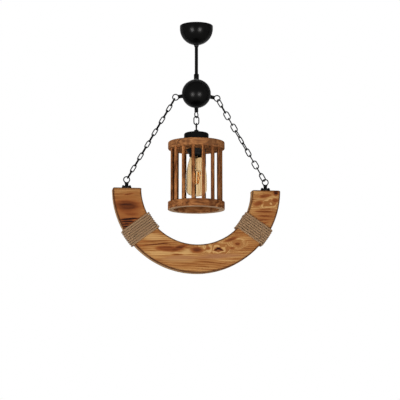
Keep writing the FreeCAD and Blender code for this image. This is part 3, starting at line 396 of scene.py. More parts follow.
def growth_height(finish, x, y, z, wander):
    """Height across the growth rings, which near a knot is the distance from it, and how near."""
    drift = finish.noise(9, 2, stretch=(0.35, 1, 1)) - 0.5
    ripple = finish.noise(62, 3, 0.55) - 0.5
    height = z + y * 0.22 + drift * 40 + wander * 8
    halo = 0
    for knot_x, knot_z, half_x, half_z in KNOTS:
        gap = slant((x - knot_x) / half_x, (z - knot_z) / half_z) + ripple * 1.1
        near = finish.steps(gap, 1.3, 0.7)
        height = height + near * (knot_z + gap * half_z * 0.55 - height)
        halo = near.math("MAXIMUM", halo)
    return height, halo


def patches(finish, x, z, fibre, places):
    """How deeply a place of the board is marked, from 0 to 1, with edges ragged along the grain."""
    narrow, narrow_fray = 4, 0.45
    ragged = (finish.noise(70, 4, 0.65, stretch=(0.16, 1, 1)) - 0.5) * 1.1 + (fibre - 0.5) * 0.9
    whole = 0
    for middle_x, middle_z, half_x, half_z, slope, depth in places:
        along = x - middle_x
        fray = ragged * (narrow_fray if half_z < narrow else 1)
        gap = slant(along / half_x, (z - middle_z - along * slope) / half_z) + fray
        whole = finish.steps(gap, 1.35, 0.40, 0, depth).math("MAXIMUM", whole)
    return whole


def under_curves(finish, x, z, outer, inner):
    """0 at one depth under the outer and the inner curve of the half ring, 1 at another."""
    around = slant(x, z)
    outside = finish.steps(around, *(CRESCENT_OUTER - depth for depth in outer))
    inside = finish.steps(around, *(CRESCENT_INNER + depth for depth in inner))
    return outside.math("MAXIMUM", inside)


def under_faces(finish, y, start, end):
    """0 at one depth under the front and the back of the half ring, 1 at another."""
    return finish.steps(y.math("ABSOLUTE"), CRESCENT_HALF - start, CRESCENT_HALF - end)


def painted_sheen_sides(finish, x, y, z):
    """How far a place lies on the half ring's curved sides, whose grain is painted paler as a
    sheen.
    """
    return under_curves(finish, x, z, (2.2, 0.8), (2.2, 0.8)) * under_faces(finish, y, 1.5, 4)


def burnt_rim(finish, x, y, z):
    """The darkened edges of the half ring: outside, inside and at its two ends."""
    curves = under_curves(finish, x, z, (7, 2), (6, 1.5))
    ends = finish.steps(z, -6, -1.5)
    return curves.math("MAXIMUM", ends) * (0.12 + under_faces(finish, y, 7, 2) * 0.88)


# Colours of the cage's stained wood: by its grain, its deepest stain (also painted shade) and its
# pores
STAIN_GRAIN = [
    (0.22, (0.480, 0.203, 0.072)),
    (0.42, (0.364, 0.139, 0.045)),
    (0.60, (0.250, 0.088, 0.028)),
    (0.78, (0.115, 0.040, 0.015)),
]
DEEP_STAIN_AND_SHADE = (0.124, 0.043, 0.016)
DARK_PORES = (0.056, 0.020, 0.009)


def stained_wood(name, along):
    """Dark stained and varnished wood of the cage, with its grain along one axis."""
    finish = Finish(name, Specular_IOR_Level=0.012)
    long_way = {"x": (0.06, 1, 1), "z": (1, 1, 0.05)}[along]
    swirl = finish.noise(16, 3, 0.55, stretch={"x": (0.4, 1, 1), "z": (1, 1, 0.3)}[along])
    fibre = finish.noise(210, 4, 0.6, stretch=long_way)
    fine = finish.noise(800, 3, 0.6, stretch=long_way)
    grain = wave(swirl * 44) * 0.30 + finish.steps(fibre, 0.25, 0.75) * 0.70
    piece_tone = finish.noise(34, 2, at=finish.vector(finish.x, finish.y, 0))
    base = finish.layers(
        finish.ramp(grain, STAIN_GRAIN),
        (finish.steps(piece_tone, 0.48, 0.66) * 0.6, DEEP_STAIN_AND_SHADE),
        (finish.steps(fine, 0.6, 0.8) * 0.28, DARK_PORES),
        # painted light: a highlight and shade on the boards, shade on the dowels
        *(board_tones_and_painted_light(finish, grain) if along == "x" else dowel_painted_shade(finish)),
    )
    return finish.done(base, 0.78 + grain * 0.18, grain * 0.6 + fine * 0.3, 0.00035)


def board_tones_and_painted_light(finish, grain):
    """Colours over the boards: painted highlight under the ring, painted shade in its bore, warmer
    disc.
    """
    height = finish.z / MM
    # painted highlight: the ring's underside is painted pale
    underside = finish.steps(height, RING_LOW.z + 1.3, RING_LOW.z + 0.2)
    from_axis = slant(finish.x, finish.y) / MM
    # painted shade: the wall of the ring's hole is painted darker
    inside = finish.steps(from_axis, RING_OPENING + 1.5, RING_OPENING + 0.3)
    low_down = finish.steps(height, RING_HIGH.z + 3, RING_HIGH.z)
    return [
        (underside * (0.9 - grain * 0.35), (0.66, 0.46, 0.29)),
        (inside * low_down * 0.45, (0.10, 0.036, 0.010)),
        ((1 - low_down) * 0.16, (0.34, 0.185, 0.090)),
        (low_down * 0.10, DARK_PORES),
    ]


def dowel_painted_shade(finish):
    """Colours over the dowels: painted shade towards the bulb and on the dowels at the right."""
    from_axis = slant(finish.x, finish.y) / MM
    # painted shade: the dowels' sides towards the bulb are painted nearly black
    inward = finish.steps(from_axis, SLAT_CIRCLE + 1, SLAT_CIRCLE - 3.5)
    # painted shade: the dowels at the right of the cage are painted darker
    painted_right_shade = finish.steps(finish.x / MM, 34, 58)
    return [(inward * 0.72, (0.022, 0.009, 0.006)), (painted_right_shade * 0.38, DEEP_STAIN_AND_SHADE)]


def jute():
    """Twisted jute yarn: dull and fibrous, with darker lengths."""
    finish = Finish("jute", Specular_IOR_Level=0.08, Sheen_Weight=0.1, Sheen_Roughness=0.6)
    yarn = finish.noise(620, 4, 0.65)
    tone = finish.noise(40, 3)
    fluff = finish.noise(1500, 3, 0.7)
    stops = [
        (0.28, (0.235, 0.140, 0.070)),
        (0.50, (0.315, 0.188, 0.096)),
        (0.72, (0.400, 0.247, 0.134)),
    ]
    darker = finish.steps(tone, 0.45, 0.75) * 0.4
    base = finish.mix(darker, finish.ramp(yarn, stops), (0.215, 0.123, 0.062))
    return finish.done(base, 0.82 + fluff * 0.15, yarn * 0.6 + fluff * 0.5, 0.0003)


def amber_glass():
    """Thin amber-tinted bulb glass with faint draw lines down its sides."""
    finish = Finish("amber_glass", Transmission_Weight=1.0, IOR=1.2)
    turn = finish.y.math("ARCTAN2", finish.x)
    lines = finish.noise(4, 3, at=finish.vector(turn * 6.0, turn * 3.1, finish.z * 2))
    base = finish.ramp(lines, [(0.36, (0.66, 0.48, 0.28)), (0.58, (0.92, 0.80, 0.60))])
    return finish.done(base, 0.02 + lines * 0.03)


def clear_glass():
    """Clear glass of the stem inside the bulb."""
    finish = Finish("clear_glass", Transmission_Weight=1.0, IOR=1.3)
    seeds = finish.noise(300, 2)
    base = finish.ramp(seeds, [(0.3, (0.93, 0.87, 0.76)), (0.7, (0.97, 0.94, 0.88))])
    return finish.done(base, 0.03 + seeds * 0.05)


def filament_coat():
    """Orange coating of the filament sticks, with a faint painted glow."""
    # painted glow: a faint emission in the coating's own colour
    finish = Finish("filament_coat", Specular_IOR_Level=0.3, Emission_Strength=0.1)
    grit = finish.noise(900, 2)
    glow = finish.ramp(grit, [(0.3, (0.80, 0.28, 0.02)), (0.7, (0.90, 0.42, 0.06))])
    finish.feed("Emission Color", glow)
    base = finish.ramp(grit, [(0.3, (0.60, 0.24, 0.03)), (0.7, (0.72, 0.34, 0.05))])
    return finish.done(base, 0.45 + grit * 0.2)


def metal(name, dark, light, rough):
    """A bare metal with fine turning marks and a little tarnish."""
    finish = Finish(name, Metallic=1.0)
    tarnish = finish.noise(70, 4)
    marks = finish.noise(900, 2, stretch=(1, 1, 6))
    base = finish.ramp(tarnish, [(0.3, dark), (0.7, light)])
    return finish.done(base, rough + tarnish * 0.12 + marks * 0.08, marks, 0.00003)


def white_ceramic():
    """Unglazed insulating ceramic."""
    finish = Finish("white_ceramic", Specular_IOR_Level=0.3)
    grit = finish.noise(260, 4)
    base = finish.ramp(grit, [(0.3, (0.62, 0.59, 0.52)), (0.7, (0.74, 0.71, 0.64))])
    return finish.done(base, 0.6 + grit * 0.2, grit, 0.0001)


ENAMEL = black_enamel()
CHAIN = chain_black()
MOULDED = moulded_black()
PINE = scorched_pine()
BOARD_WOOD = stained_wood("stained_board", "x")
DOWEL_WOOD = stained_wood("stained_dowel", "z")
JUTE = jute()
AMBER = amber_glass()
CLEAR = clear_glass()
FILAMENT = filament_coat()
BRASS = metal("pressed_brass", (0.50, 0.33, 0.12), (0.68, 0.48, 0.20), 0.24)
STEEL = metal("zinc_steel", (0.42, 0.42, 0.43), (0.60, 0.60, 0.61), 0.30)
CERAMIC = white_ceramic()


# Mesh tools


def arc(u, v, radius, start, end, steps):
    """Points on an arc about (u, v), from one angle to another in degrees."""
    angles = [radians(start + (end - start) * i / steps) for i in range(steps + 1)]
    return [(u + radius * cos(a), v + radius * sin(a)) for a in angles]


def lathe(points, steps, closed=True):
    """A shape turned about Z from an outline of radii and heights."""
    bm = bmesh.new()
    verts = [bm.verts.new((radius, 0, height)) for radius, height in points]
    pairs = list(zip(verts, verts[1:])) + ([(verts[-1], verts[0])] if closed else [])
    edges = [bm.edges.new(pair) for pair in pairs]
    bmesh.ops.spin(
        bm, geom=verts + edges, cent=(0, 0, 0), axis=Z, angle=tau, steps=steps, use_merge=True
    )
    clean(bm)
    return bm


def clean(bm):
    """Merges doubles and turns all faces outwards."""
    bmesh.ops.remove_doubles(bm, verts=bm.verts, dist=1e-4)
    bmesh.ops.dissolve_degenerate(bm, edges=bm.edges, dist=1e-5)
    bmesh.ops.recalc_face_normals(bm, faces=bm.faces)


def round_edges(bm, offset, segments, angle=35, where=None):
    """Bevels the edges that are sharper than an angle, or those of them that a test picks."""
    sharp = [e for e in bm.edges if e.is_manifold and e.calc_face_angle() > radians(angle)]
    chosen = [e for e in sharp if where is None or where(e)]
    bmesh.ops.bevel(
        bm, geom=chosen, offset=offset, segments=segments, profile=0.5, affect="EDGES", material=-1
    )


def shift(bm, matrix):
    """Moves or turns a shape, and gives it back."""
    bmesh.ops.transform(bm, matrix=matrix, verts=bm.verts)
    return bm


def mesh_from(bm, name):
    """The mesh of a finished shape, and the shape put away."""
    mesh = bpy.data.meshes.new(name)
    bm.to_mesh(mesh)
    bm.free()
    return mesh


def placed(name, data):
    """An object in the scene."""
    made = bpy.data.objects.new(name, data)
    bpy.context.collection.objects.link(made)
    return made


def joined(shapes):
    """Several shapes as one."""
    whole = bmesh.new()
    for shape in shapes:
        mesh = mesh_from(shape, "part")
        whole.from_mesh(mesh)
        bpy.data.meshes.remove(mesh)
    return whole


def piece(shape, name, body, material, node, sharp=38):
    """Makes a finished object of a shape in millimetres, and puts it on its body in place of a CAD
    node.
    """
    bmesh.ops.scale(shape, vec=(MM, MM, MM), verts=shape.verts)
    mesh = mesh_from(shape, name)
    mesh.shade_smooth()
    mesh.set_sharp_from_angle(angle=radians(sharp))
    settle(mesh, name, body, material, node)


def settle(mesh, name, body, material, node):
    """Puts a finished mesh in the scene on its body, in place of a CAD node."""
    made = placed(name, mesh)
    mesh.materials.clear()
    mesh.materials.append(material)
    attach(made, body)
    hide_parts(node)


def paint(material, *nodes):
    """Gives CAD nodes that stay a finish."""
    for node in nodes:
        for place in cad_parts[node].material_slots:
            place.material = material


# Dome, stem and hub


def dome():
    """The canopy as one pressed shell with a rolled rim, and the tapered collar under it."""
    hole, roll = 5.3, 0.6
    inner = DOME_RADIUS - DOME_WALL
    land = DOME_LOW.z
    land_angle = degrees(asin((land + DOME_RIM) / DOME_RADIUS))
    inner_angle = degrees(asin((land + DOME_WALL + DOME_RIM) / inner))
    outline = arc(DOME_RADIUS - roll, -roll, roll, 90, 0, 4)
    outline += arc(0, -DOME_RIM, DOME_RADIUS, 0, land_angle, 40)
    outline += [(hole, land), (hole, land + DOME_WALL)]
    outline += arc(0, -DOME_RIM, inner, inner_angle, 0, 40)
    outline += [(inner, 0)]
    piece(lathe(outline, 128), "dome", "canopy", ENAMEL, "canopy_dome")
    head, waist, foot, band, lip = 7.8, 6.0, 5.6, 1.2, 0.5
    outline = [(hole, COLLAR_HIGH.z), (head, COLLAR_HIGH.z), (head, COLLAR_HIGH.z - band)]
    outline += [(waist, COLLAR_LOW.z + lip), (foot, COLLAR_LOW.z), (hole, COLLAR_LOW.z)]
    collar = lathe(outline, 64)
    round_edges(collar, 0.25, 2)
    piece(collar, "collar", "canopy", ENAMEL, "canopy_collar")


def stem():
    """The stem tube with chamfered ends, and the coupling with rounded edges."""
    bore = STEM_RADIUS - STEM_WALL
    chamfer, play = 0.4, 0.05
    tube = [(bore, STEM_LOW.z), (STEM_RADIUS - chamfer, STEM_LOW.z)]
    tube += [(STEM_RADIUS, STEM_LOW.z + chamfer), (STEM_RADIUS, STEM_HIGH.z - chamfer)]
    tube += [(STEM_RADIUS - chamfer, STEM_HIGH.z), (bore, STEM_HIGH.z)]
    piece(lathe(tube, 48), "stem_tube", "hanger", CHAIN, "stem")
    radius, low, high = COUPLING_HIGH.x, COUPLING_LOW.z, COUPLING_HIGH.z
    seat = STEM_RADIUS + play
    coupling = lathe([(seat, low), (radius, low), (radius, high), (seat, high)], 64)
    round_edges(coupling, 0.8, 3)
    piece(coupling, "coupling", "hanger", ENAMEL, "hub_coupling")


def side_eye_place(sign):
    """Direction of a side eye from the middle of the ball, and the middle of its ring."""
    out = Vector((sign * cos(HUB_EYE_DIP), 0, -sin(HUB_EYE_DIP)))
    return out, Z * HUB_Z + out * HUB_EYE_REACH


def ball():
    """The hub: a spun ball with flats under the coupling and the three eyes."""
    top = degrees(acos(BALL_TOP_LAND / BALL_RADIUS))
    bottom = -degrees(acos(BALL_EYE_LAND / BALL_RADIUS))
    outline = [(0, BALL_HIGH.z)] + arc(0, HUB_Z, BALL_RADIUS, top, bottom, 64) + [(0, BALL_LOW.z)]
    shape = lathe(outline, 128, closed=False)
    for sign in SIDES.values():
        out = side_eye_place(sign)[0]
        flat = Z * HUB_Z + out * EYE_LAND
        for vert in shape.verts:
            vert.co -= out * max((vert.co - flat).dot(out), 0)
    piece(shape, "ball", "hanger", ENAMEL, "hub_ball")


def wire_ring(radius, wire, steps):
    """A round ring of wire about Z."""
    sides = 16
    return lathe(arc(radius, 0, wire, 0, 360 - 360 / sides, sides - 1), steps)


def eye(seat, neck=EYE_NECK, foot=EYE_FOOT, waist=EYE_NECK):
    """A ring about the origin in XZ, on a waisted neck that points down to its seat."""
    ring = shift(wire_ring(EYE_RING, EYE_WIRE, 56), Matrix.Rotation(pi / 2, 4, "X"))
    top = -EYE_RING
    length = seat - EYE_RING
    outline = [
        (0, top + 0.4),
        (neck - 0.6, top + 0.4),
        (neck, top - 0.2),
        (waist + (neck - waist) * 0.3, top - length * 0.25),
        (waist, top - length * 0.5),
        (waist + (foot - waist) * 0.35, top - length * 0.78),
        (foot, top - length * 0.96),
        (foot, -seat),
        (0, -seat),
    ]
    return joined([ring, lathe(outline, 40, closed=False)])


def hub_eyes():
    """Two eyes at the sides of the ball, on a slope, and one under it."""
    for side, sign in SIDES.items():
        turn = Matrix.Rotation(sign * (pi / 2 + HUB_EYE_DIP), 4, "Y")
        place = Matrix.Translation(side_eye_place(sign)[1])
        shape = shift(eye(HUB_EYE_REACH - EYE_LAND, waist=HUB_EYE_WAIST), place @ turn)
        piece(shape, f"{side}_hub_ring", "hanger", CHAIN, f"{side}_hub_eye")
    turn = Matrix.Rotation(BOTTOM_EYE_TURN, 4, "Z") @ Matrix.Rotation(pi, 4, "X")
    place = Matrix.Translation((0, 0, HUB_Z - BOTTOM_EYE_REACH))
    shape = shift(eye(BOTTOM_EYE_REACH - EYE_LAND, waist=HUB_EYE_WAIST), place @ turn)
    piece(shape, "bottom_hub_ring", "hanger", CHAIN, "bottom_hub_eye")


# Chains


def link():
    """One welded link along Z in XZ: two bends, two legs and a weld bead on one leg."""
    bm = bmesh.new()
    side = LINK_WIDTH / 2 + LINK_WIRE
    half = (LINK_LENGTH - LINK_WIDTH) / 2
    section = bmesh.ops.create_circle(bm, segments=14, radius=LINK_WIRE)["verts"]
    bmesh.ops.translate(bm, vec=(side, 0, half), verts=section)
    loop = bm.edges[:]
    for height, leg in ((half, -1), (-half, 1)):
        bent = bmesh.ops.spin(
            bm, geom=loop, cent=(0, 0, height), axis=Y, angle=-pi, steps=18, use_merge=False
        )["geom_last"]
        loop = [g for g in bent if isinstance(g, bmesh.types.BMEdge)]
        stretched = bmesh.ops.extrude_edge_only(bm, edges=loop)["geom"]
        moved = [g for g in stretched if isinstance(g, bmesh.types.BMVert)]
        bmesh.ops.translate(bm, vec=(0, 0, leg * 2 * half), verts=moved)
        loop = [
            g for g in stretched
            if isinstance(g, bmesh.types.BMEdge) and all(v in moved for v in g.verts)
        ]
    clean(bm)
    bead_circle, bead_radius = LINK_WIRE - 0.55, 0.85
    bead = lathe(arc(bead_circle, 0, bead_radius, -80, 80, 6), 18, closed=False)
    shift(bead, Matrix.Translation((side, 0, 0)))
    return joined([bm, bead])


def left_twist(index):
    """Every second link of the left chain is nearly edge-on from the front, the others narrow."""
    return 41 if index % 2 else -9


def right_twist(index):
    """The right chain is wound up a little: its links turn wide, narrow and wide again."""
    if index % 2:
        return {1: -21, 5: -31, 7: -31}.get(index, -14)
    return {0: 29, 4: 62, 6: 19, 8: 37, LINK_COUNT - 1: 40}.get(index, 76)


def chains():
    """Both side chains from the hub to the half ring, and the single link over the cage."""
    first = EYE_OPENING - LINK_PLAY + LINK_LENGTH / 2
    for side, twist in (("left", left_twist), ("right", right_twist)):
        sign = SIDES[side]
        start = side_eye_place(sign)[1]
        end = Vector((sign * CRESCENT_MIDDLE, 0, CRESCENT_Z + CRESCENT_EYE_HEIGHT))
        along = (end - start).normalized()
        lean = Matrix.Rotation(-atan2(along.x, -along.z), 4, "Y")
        links = []
        for i in range(LINK_COUNT):
            centre = start + along * (first + i * (LINK_LENGTH - LINK_PLAY))
            turn = Matrix.Rotation(radians(90 + twist(i)), 4, "Z")
            links.append(shift(link(), Matrix.Translation(centre) @ lean @ turn))
        name = f"{side}_top_link"
        piece(links[0], f"{name}_wire", name, CHAIN, name)
        name = f"{side}_chain"
        piece(joined(links[1:]), f"{name}_links", name, CHAIN, name)
    middle = Matrix.Translation((0, 0, HUB_Z - BOTTOM_EYE_REACH - first))
    single = shift(link(), middle)
    piece(single, "centre_link_wire", "centre_link", CHAIN, "centre_link")


# Cap and cage


def cap():
    """The eye, cone nut and pressed cap over the cage."""
    sunk, shank = 10, 2.4
    turn = Matrix.Rotation(pi / 2, 4, "Z")
    place = Matrix.Translation((0, 0, CONE_LOW.z + CAP_EYE_HEIGHT))
    shape = shift(eye(CAP_EYE_HEIGHT - sunk, neck=shank, foot=4, waist=shank), place @ turn)
    piece(shape, "cap_ring", "cage", CHAIN, "cap_eye")
    nut_radius, nut_side, nut_top = CONE_HIGH.x, 7.5, 5
    outline = [(0, CONE_LOW.z), (nut_radius, CONE_LOW.z), (nut_radius, CONE_LOW.z + nut_side)]
    outline += [(nut_top, CONE_HIGH.z), (0, CONE_HIGH.z)]
    cone = lathe(outline, 48, closed=False)
    round_edges(cone, 0.5, 3, 25)
    piece(cone, "cone_nut", "cage", ENAMEL, "cap_cone_nut")
    radius, low, high = CAP_HIGH.x, CAP_LOW.z, CAP_HIGH.z
    wall, edge, bore, chamfer = 1.5, 6, 4.1, 0.4
    outline = [(bore, high)] + arc(radius - edge, high - edge, edge, 90, 0, 8)
    outline += [(radius, low + chamfer), (radius - chamfer, low), (radius - wall, low)]
    outline += arc(radius - edge, high - edge, edge - wall, 0, 90, 8) + [(bore, high - wall)]
    piece(lathe(outline, 128), "cap_cup", "cage", ENAMEL, "shade_cap")


def turned_board(inner, low, high, edge):
    """A turned wooden disc or ring with rounded edges, a little uneven from hand sanding."""
    outline = [(inner, low)]
    outline += arc(CAGE_RADIUS - edge, low + edge, edge, -90, 0, 6)
    outline += arc(CAGE_RADIUS - edge, high - edge, edge, 0, 90, 6)
    outline += [(inner, high)]
    shape = lathe(outline, 160)
    waves, depth, worn = 0.035, 0.35, 0.2
    for vert in shape.verts:
        flat = Vector((vert.co.x, vert.co.y, 0))
        if flat.length > CAGE_RADIUS - edge * 2:
            vert.co += flat.normalized() * (noise.noise(vert.co * waves) * depth - worn)
    return shape


def dowel(index):
    """One dowel between disc and ring, a little uneven along its length."""
    low, high, sunk, rows = RING_HIGH.z, DISC_LOW.z, 2, 24
    waves, depth, worn = 0.022, 0.16, 0.06
    outline = [(0, low - sunk), (SLAT_RADIUS, low - sunk)]
    for row in range(rows + 1):
        height = low + (high - low) * row / rows
        uneven = noise.noise(Vector((index * 7.3, 0, height * waves))) * depth - worn
        outline.append((SLAT_RADIUS + uneven, height))
    outline += [(SLAT_RADIUS, high + sunk), (0, high + sunk)]
    angle = radians(SLAT_START + index * 360 / SLAT_COUNT)
    place = Vector((cos(angle), sin(angle), 0)) * SLAT_CIRCLE
    return shift(lathe(outline, 28, closed=False), Matrix.Translation(place))


def cage():
    """Disc and ring, and the dowels between them."""
    holder_hole = 22.3
    disc = turned_board(holder_hole, DISC_LOW.z, DISC_HIGH.z, DISC_ROUND)
    piece(disc, "disc_board", "cage", BOARD_WOOD, "top_disc")
    ring = turned_board(RING_OPENING, RING_LOW.z, RING_HIGH.z, RING_ROUND)
    round_edges(ring, 0.8, 2, 60)
    piece(ring, "ring_board", "cage", BOARD_WOOD, "bottom_ring")
    for i in range(SLAT_COUNT):
        number = f"{i + 1:02d}"
        piece(dowel(i), f"dowel_{number}", "cage", DOWEL_WOOD, f"slat_{number}")


# Lamp holder and bulb


def holder():
    """Moulded holder with a shoulder and a groove at its mouth, and a notched clamp ring."""
    low, high, shoulder = SHELL_LOW.z, SHELL_HIGH.z, DISC_HIGH.z
    wire_hole, body, flange, mouth = 4.1, 22, 26, 19.8
    flange_height, roof, groove = 3, 5, 0.4
    outline = [(wire_hole, high), (body - 1, high), (body, high - 1)]
    outline += [(body, shoulder + flange_height), (flange, shoulder + flange_height)]
    outline += [(flange, shoulder), (body, shoulder), (body, low + 6)]
    outline += [(body - groove, low + 5.4), (body - groove, low + 4.6), (body, low + 4)]
    outline += [(body, low + 0.8), (body - 0.8, low), (mouth + 0.4, low), (mouth, low + 0.6)]
    outline += [(mouth, high - roof), (wire_hole, high - roof)]
    piece(lathe(outline, 96), "holder_body", "cage", MOULDED, "holder_shell")
    top, foot = CLAMP_HIGH.z, CLAMP_LOW.z
    bore, rim, rim_height, taper = 22.1, 29, 4, 25.5
    steps, notch_every, notch_depth = 144, 4, 0.7
    outline = [(bore, top), (rim, top), (rim, top - rim_height), (taper, foot), (bore, foot)]
    ring = lathe(outline, steps)
    for vert in ring.verts:
        reach = hypot(vert.co.x, vert.co.y)
        step = round(degrees(atan2(vert.co.y, vert.co.x)) * steps / 360)
        if reach > rim - 1 and step % notch_every == 0:
            vert.co.x *= 1 - notch_depth / reach
            vert.co.y *= 1 - notch_depth / reach
    piece(ring, "clamp_ring", "cage", MOULDED, "holder_clamp_ring")


def glass_wall(depth):
    """The bulb's outline from the cap down to the crown, at a depth in the glass."""
    top = GLASS_HIGH.z
    mouth, lip, neck, belly = 13.1, 14.2, 19.4, 32
    lip_drop, neck_drop, side_drop, corner_drop = 3, 11, 72, 26
    belly_z = top - neck_drop - side_drop
    corner_z = belly_z - corner_drop
    swell = belly - neck
    side = (side_drop**2 + swell**2) / (2 * swell)
    sweep = degrees(asin(side_drop / side))
    centre = belly - GLASS_CORNER
    tilt = radians(GLASS_CROWN_ANGLE)
    crown_z = corner_z + centre * tan(tilt)
    crown = GLASS_CORNER + centre / cos(tilt)
    points = [(mouth - depth, top), (lip - depth, top - lip_drop)]
    points += arc(belly - side, belly_z, side - depth, sweep, 0, 20)
    points += arc(centre, corner_z, GLASS_CORNER - depth, 0, -GLASS_CROWN_ANGLE, 14)
    points += arc(0, crown_z, crown - depth, -GLASS_CROWN_ANGLE, -90, 10)[1:]
    return points


def bulb():
    """Pear-shaped amber glass, its inner stem, the carrying wires and the filament sticks."""
    outline = glass_wall(0) + glass_wall(GLASS_WALL)[::-1]
    piece(lathe(outline, 96), "glass", "bulb", AMBER, "bulb_glass")
    top, end = LAMP_STEM_HIGH.z, LAMP_STEM_LOW.z
    flare = [(0, 0), (11.8, 0), (11.8, 1.4), (6.5, 5), (3.6, 11), (2.7, 20)]
    neck, bead = 2.6, 3.0
    outline = [(radius, top - drop) for radius, drop in flare]
    outline += [(neck, end + 2 * bead)] + arc(0, end + bead, bead, 60, -90, 10)
    inner_stem = lathe(outline, 40, closed=False)
    piece(inner_stem, "lamp_stem", "bulb", CLEAR, "bulb_stem")
    filaments(end)


def rod(start, end, radius, segments):
    """A round rod between two points with rounded ends."""
    run = end - start
    outline = arc(0, 0, radius, -90, 0, 3) + arc(0, run.length, radius, 0, 90, 3)
    shape = lathe(outline, segments, closed=False)
    turn = Z.rotation_difference(run).to_matrix().to_4x4()
    return shift(shape, Matrix.Translation(start) @ turn)


def filaments(top):
    """Six coated sticks that lean inward from a spider of wires to a small ring."""
    count, top_circle, foot_circle = 6, 14, 5.5
    spoke, tail, hoop, stick = 0.45, 0.4, 0.5, 1.3
    foot = WIRES_LOW.z + 1
    wires, sticks = [], []
    for i in range(count):
        angle = i * tau / count
        out = Vector((cos(angle), sin(angle), 0))
        level = Z * (top - 0.5)
        high = out * top_circle + Z * (top - 1.6)
        low = out * foot_circle + Z * (foot + 0.6)
        down = (low - high).normalized()
        wires.append(rod(level + out * 1.2, level + out * top_circle, spoke, 8))
        wires.append(rod(high + Z * 1.1, high + down * 2.4, tail, 8))
        wires.append(rod(low - down * 2.4, low, tail, 8))
        sticks.append(rod(high + down * 2, low - down * 2, stick, 12))
    wires.append(shift(wire_ring(foot_circle, hoop, 32), Matrix.Translation((0, 0, foot))))
    piece(joined(wires), "carrying_wires", "bulb", STEEL, "filament_wires")
    piece(joined(sticks), "filament_sticks", "bulb", FILAMENT, "filaments")


# Half ring


def is_end_corner(edge):
    """Whether an edge of the plain half ring runs front to back across one of its ends."""
    first, second = (vert.co for vert in edge.verts)
    return max(abs(first.z), abs(second.z), abs(first.x - second.x)) < 0.01


def half_ring():
    """The board's half ring with rounded edges and end corners, worn a little uneven."""
    bm = bmesh.new()
    end_round, edge_round, wear = 5, 3, 0.22
    depths = (-CRESCENT_HALF, CRESCENT_HALF)
    inner = [bm.verts.new((CRESCENT_INNER, y, 0)) for y in depths]
    outer = [bm.verts.new((CRESCENT_OUTER, y, 0)) for y in depths]
    face = bm.faces.new((inner[0], *outer, inner[1]))
    whole = [face, *face.edges, *face.verts]
    bmesh.ops.spin(bm, geom=whole, cent=(0, 0, 0), axis=Y, angle=pi, steps=150)
    clean(bm)
    round_edges(bm, end_round, 4, where=is_end_corner)
    round_edges(bm, edge_round, 4)
    bmesh.ops.translate(bm, vec=(0, 0, CRESCENT_Z), verts=bm.verts)
    bm.normal_update()
    for vert in bm.verts:
        grain = Vector((vert.co.x * 0.02, vert.co.y * 0.08, vert.co.z * 0.08))
        vert.co -= vert.normal * (wear + wear * noise.noise(grain))
    piece(bm, "half_ring_board", "half_ring", PINE, "crescent", sharp=50)


def screw_head(x, z):
    """A domed screw head with a slot."""
    radius, edge, crown, slot_half, slot_depth = 3.4, 1.0, 2.4, 0.45, 0.9
    outline = [(0, 0), (radius, 0)]
    outline += [(u, edge + v * crown / radius) for u, v in arc(0, 0, radius, 0, 90, 5)]
    shape = lathe(outline, 28, closed=False)
    for side in (-slot_half, slot_half):
        whole = [*shape.verts, *shape.edges, *shape.faces]
        bmesh.ops.bisect_plane(shape, geom=whole, plane_co=(0, side, 0), plane_no=Y)
    for vert in shape.verts:
        if abs(vert.co.y) < slot_half - 0.05 and vert.co.z > slot_depth:
            vert.co.z -= slot_depth
    return shift(shape, Matrix.Translation((x, 0, z)) @ Matrix.Rotation(0.5, 4, "Z"))


def end_fittings():
    """On each end of the half ring an eye on a round plate with two screws."""
    plate_radius, plate_edge, plate_bevel, screw_reach = 14.5, 1.6, 1.5, 10
    plates, screws = [], []
    for side, sign in SIDES.items():
        middle = sign * CRESCENT_MIDDLE
        place = Matrix.Translation((middle, 0, CRESCENT_Z + CRESCENT_EYE_HEIGHT))
        shape = shift(eye(CRESCENT_EYE_HEIGHT - PLATE_HEIGHT, neck=6.8, waist=5.2), place)
        piece(shape, f"{side}_end_ring", "half_ring", CHAIN, f"{side}_crescent_eye")
        outline = [(0, 0), (plate_radius, 0), (plate_radius, PLATE_HEIGHT - plate_edge)]
        outline += [(plate_radius - plate_bevel, PLATE_HEIGHT), (0, PLATE_HEIGHT)]
        plate = lathe(outline, 56, closed=False)
        round_edges(plate, 0.6, 2, 20)
        plates.append(shift(plate, Matrix.Translation((middle, 0, CRESCENT_Z))))
        for reach in (-screw_reach, screw_reach):
            screws.append(screw_head(middle + reach, CRESCENT_Z + PLATE_HEIGHT))
    piece(joined(plates), "eye_plates", "half_ring", ENAMEL, "eye_rosettes")
    piece(joined(screws), "plate_screws", "half_ring", CHAIN, "rosette_screws")


# Rope


def wrap_route(side):
    """Control points of a rope round an arm, whose turns step over to the next at the back."""
    gap, lead = 0.15, 9.0
    sign, dip = SIDES[side], ROPE_ANGLES[side]
    depth = CRESCENT_HALF + ROPE_RADIUS + gap
    out = Vector((sign * cos(dip), 0, -sin(dip)))
    across = Vector((-sign * sin(dip), 0, -cos(dip)))
    points = []
    for turn in range(ROPE_TURNS):
        offset = (turn + 0.5 - ROPE_TURNS / 2) * ROPE_PITCH
        low = sqrt(CRESCENT_INNER**2 - offset**2) - ROPE_RADIUS - gap
        high = sqrt(CRESCENT_OUTER**2 - offset**2) + ROPE_RADIUS + gap
        corner = [(low, lead), (low, 0), (low + lead, 0)]
        corner += [(high - lead, 0), (high, 0), (high, lead)]
        front = [(radial, inset - depth, 0) for radial, inset in corner]
        back = []
        for step, (radial, inset) in enumerate(reversed(corner)):
            stepped = 0 if turn == ROPE_TURNS - 1 else min(max(0, step - 1.5) / 3.5, 1)
            back.append((radial, depth - inset, stepped * ROPE_PITCH))
        for radial, y, over in front + back:
            points.append(Z * CRESCENT_Z + out * radial + Y * y + across * (offset + over))
    return points, across


